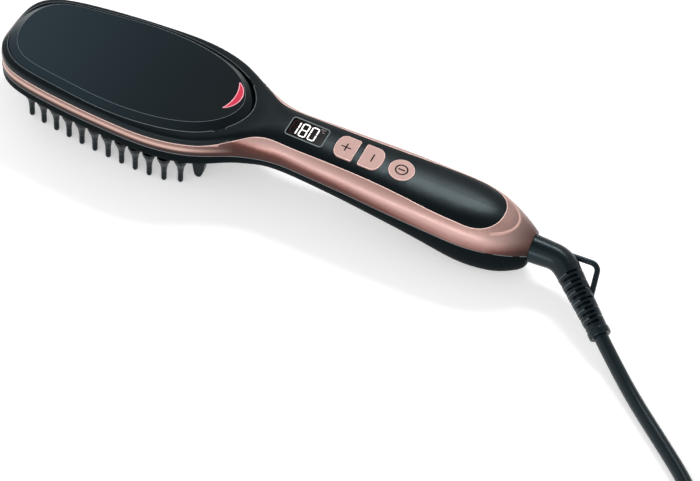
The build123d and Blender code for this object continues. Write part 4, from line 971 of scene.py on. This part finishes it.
def make_lens_rim():
    """Pale rim round the crescent light: there by its outer bow, back by its inner one."""
    start, end = CRESCENT_ENDS
    outer, inner = CRESCENT_BOWS
    outline = np.vstack([arc(start, outer, end, 24), arc(end, inner, start, 24)[1:-1]])
    path = np.hstack([outline, np.full((len(outline), 1), LENS_RIM_Z)]) * MM
    path = even(path, 0.5 * MM)
    bead("crescent_rim", path, LENS_RIM_R, "lens_rim", "handle", sides=16)


# -------------------------------------------------------------------- light and floor
ROOM_FRONT, ROOM_BACK = 1.0, 0.62     # brightness of the room before and behind the brush
ROOM_TOP = 0.35                       # share of it that is left straight above
FLOOR_TONE = (0.94, 0.94, 0.94, 1.0)
FLOOR_GLOW = 0.36                     # what the camera, a shine or glass sees over its light
FLOOR_REACH = 4.0


def make_floor():
    """Pale table top, seen as white with the brush's soft shadow on it: its glow goes to
    the camera, to shines and through glass, and lights nothing."""
    mesh = bpy.data.meshes.new("floor")
    corners = [(-1, -1), (1, -1), (1, 1), (-1, 1)]
    corners = [(x * FLOOR_REACH, y * FLOOR_REACH, 0.0) for x, y in corners]
    mesh.from_pydata(corners, [], [(0, 1, 2, 3)])
    floor = bpy.data.objects.new("floor", mesh)
    bpy.context.collection.objects.link(floor)
    material = bpy.data.materials.new("floor_paper")
    material.use_nodes = True
    tree = material.node_tree
    shader = tree.nodes["Principled BSDF"]
    shader.inputs["Base Color"].default_value = FLOOR_TONE
    shader.inputs["Roughness"].default_value = 0.9
    shader.inputs["Specular IOR Level"].default_value = 0.0
    seen = tree.nodes.new("ShaderNodeLightPath")
    glow = tree.nodes.new("ShaderNodeEmission")
    glow.inputs["Color"].default_value = WHITE
    share = tree.nodes.new("ShaderNodeMath")
    share.operation = "MULTIPLY"
    share.inputs[1].default_value = FLOOR_GLOW
    shine, either = tree.nodes.new("ShaderNodeMath"), tree.nodes.new("ShaderNodeMath")
    shine.operation = either.operation = "MAXIMUM"
    add = tree.nodes.new("ShaderNodeAddShader")
    out = tree.nodes["Material Output"]
    tree.links.new(seen.outputs["Is Glossy Ray"], shine.inputs[0])
    tree.links.new(seen.outputs["Is Transmission Ray"], shine.inputs[1])
    tree.links.new(seen.outputs["Is Camera Ray"], either.inputs[0])
    tree.links.new(shine.outputs["Value"], either.inputs[1])
    tree.links.new(either.outputs["Value"], share.inputs[0])
    tree.links.new(share.outputs["Value"], glow.inputs["Strength"])
    tree.links.new(shader.outputs["BSDF"], add.inputs[0])
    tree.links.new(glow.outputs["Emission"], add.inputs[1])
    tree.links.new(add.outputs["Shader"], out.inputs["Surface"])
    mesh.materials.append(material)
    floor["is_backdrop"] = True


def area_light(name, at, look, size, power):
    """Soft box at a point, turned to look at another; its power is in watts."""
    data = bpy.data.lights.new(name, "AREA")
    data.shape = "RECTANGLE"
    data.size, data.size_y = size
    data.energy = power
    lamp = bpy.data.objects.new(name, data)
    lamp.location = at
    lamp.rotation_euler = (Vector(at) - Vector(look)).to_track_quat("Z", "Y").to_euler()
    bpy.context.collection.objects.link(lamp)


def make_light():
    """Low soft box in front, two behind, and a room darker behind and above."""
    area_light("front_box", (0.1, -1.25, 0.27), (0.06, 0.0, 0.03), size=(1.1, 0.28), power=4.6)
    area_light("back_box", (0.04, 0.35, 0.525), (0.095, 0.0, 0.035), size=(0.24, 0.09), power=1.5)
    area_light("tip_box", (-0.62, 0.42, 0.50), (-0.10, 0.0, 0.04), size=(0.45, 0.5), power=0.35)
    world = bpy.data.worlds.new("room")
    bpy.context.scene.world = world
    world.use_nodes = True
    tree = world.node_tree
    coords, split = tree.nodes.new("ShaderNodeTexCoord"), tree.nodes.new("ShaderNodeSeparateXYZ")
    tree.links.new(coords.outputs["Generated"], split.inputs["Vector"])
    level = between(tree, split.outputs["Y"], -0.7, 0.5, ROOM_FRONT, ROOM_BACK)
    above = between(tree, split.outputs["Z"], 0.70, 0.97, 1.0, ROOM_TOP)
    both = tree.nodes.new("ShaderNodeMath")
    both.operation = "MULTIPLY"
    tree.links.new(level, both.inputs[0])
    tree.links.new(above, both.inputs[1])
    back = tree.nodes["Background"]
    back.inputs["Color"].default_value = WHITE
    tree.links.new(both.outputs["Value"], back.inputs["Strength"])
    bpy.context.scene.view_settings.view_transform = "Standard"


make_camera()
make_finishes()
make_cord()
dress_nodes()
band_edge_highlights()
panel_edge_highlights()
button_rim_highlights()
make_display()
make_signs()
make_lens_rim()
make_ridge()
make_bristles()
make_relief_rib_highlights()
make_floor()
make_light()

boxes = {"cad": cad_box, "visual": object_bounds()}
boxes = {name: [list(map(float, corner)) for corner in box] for name, box in boxes.items()}
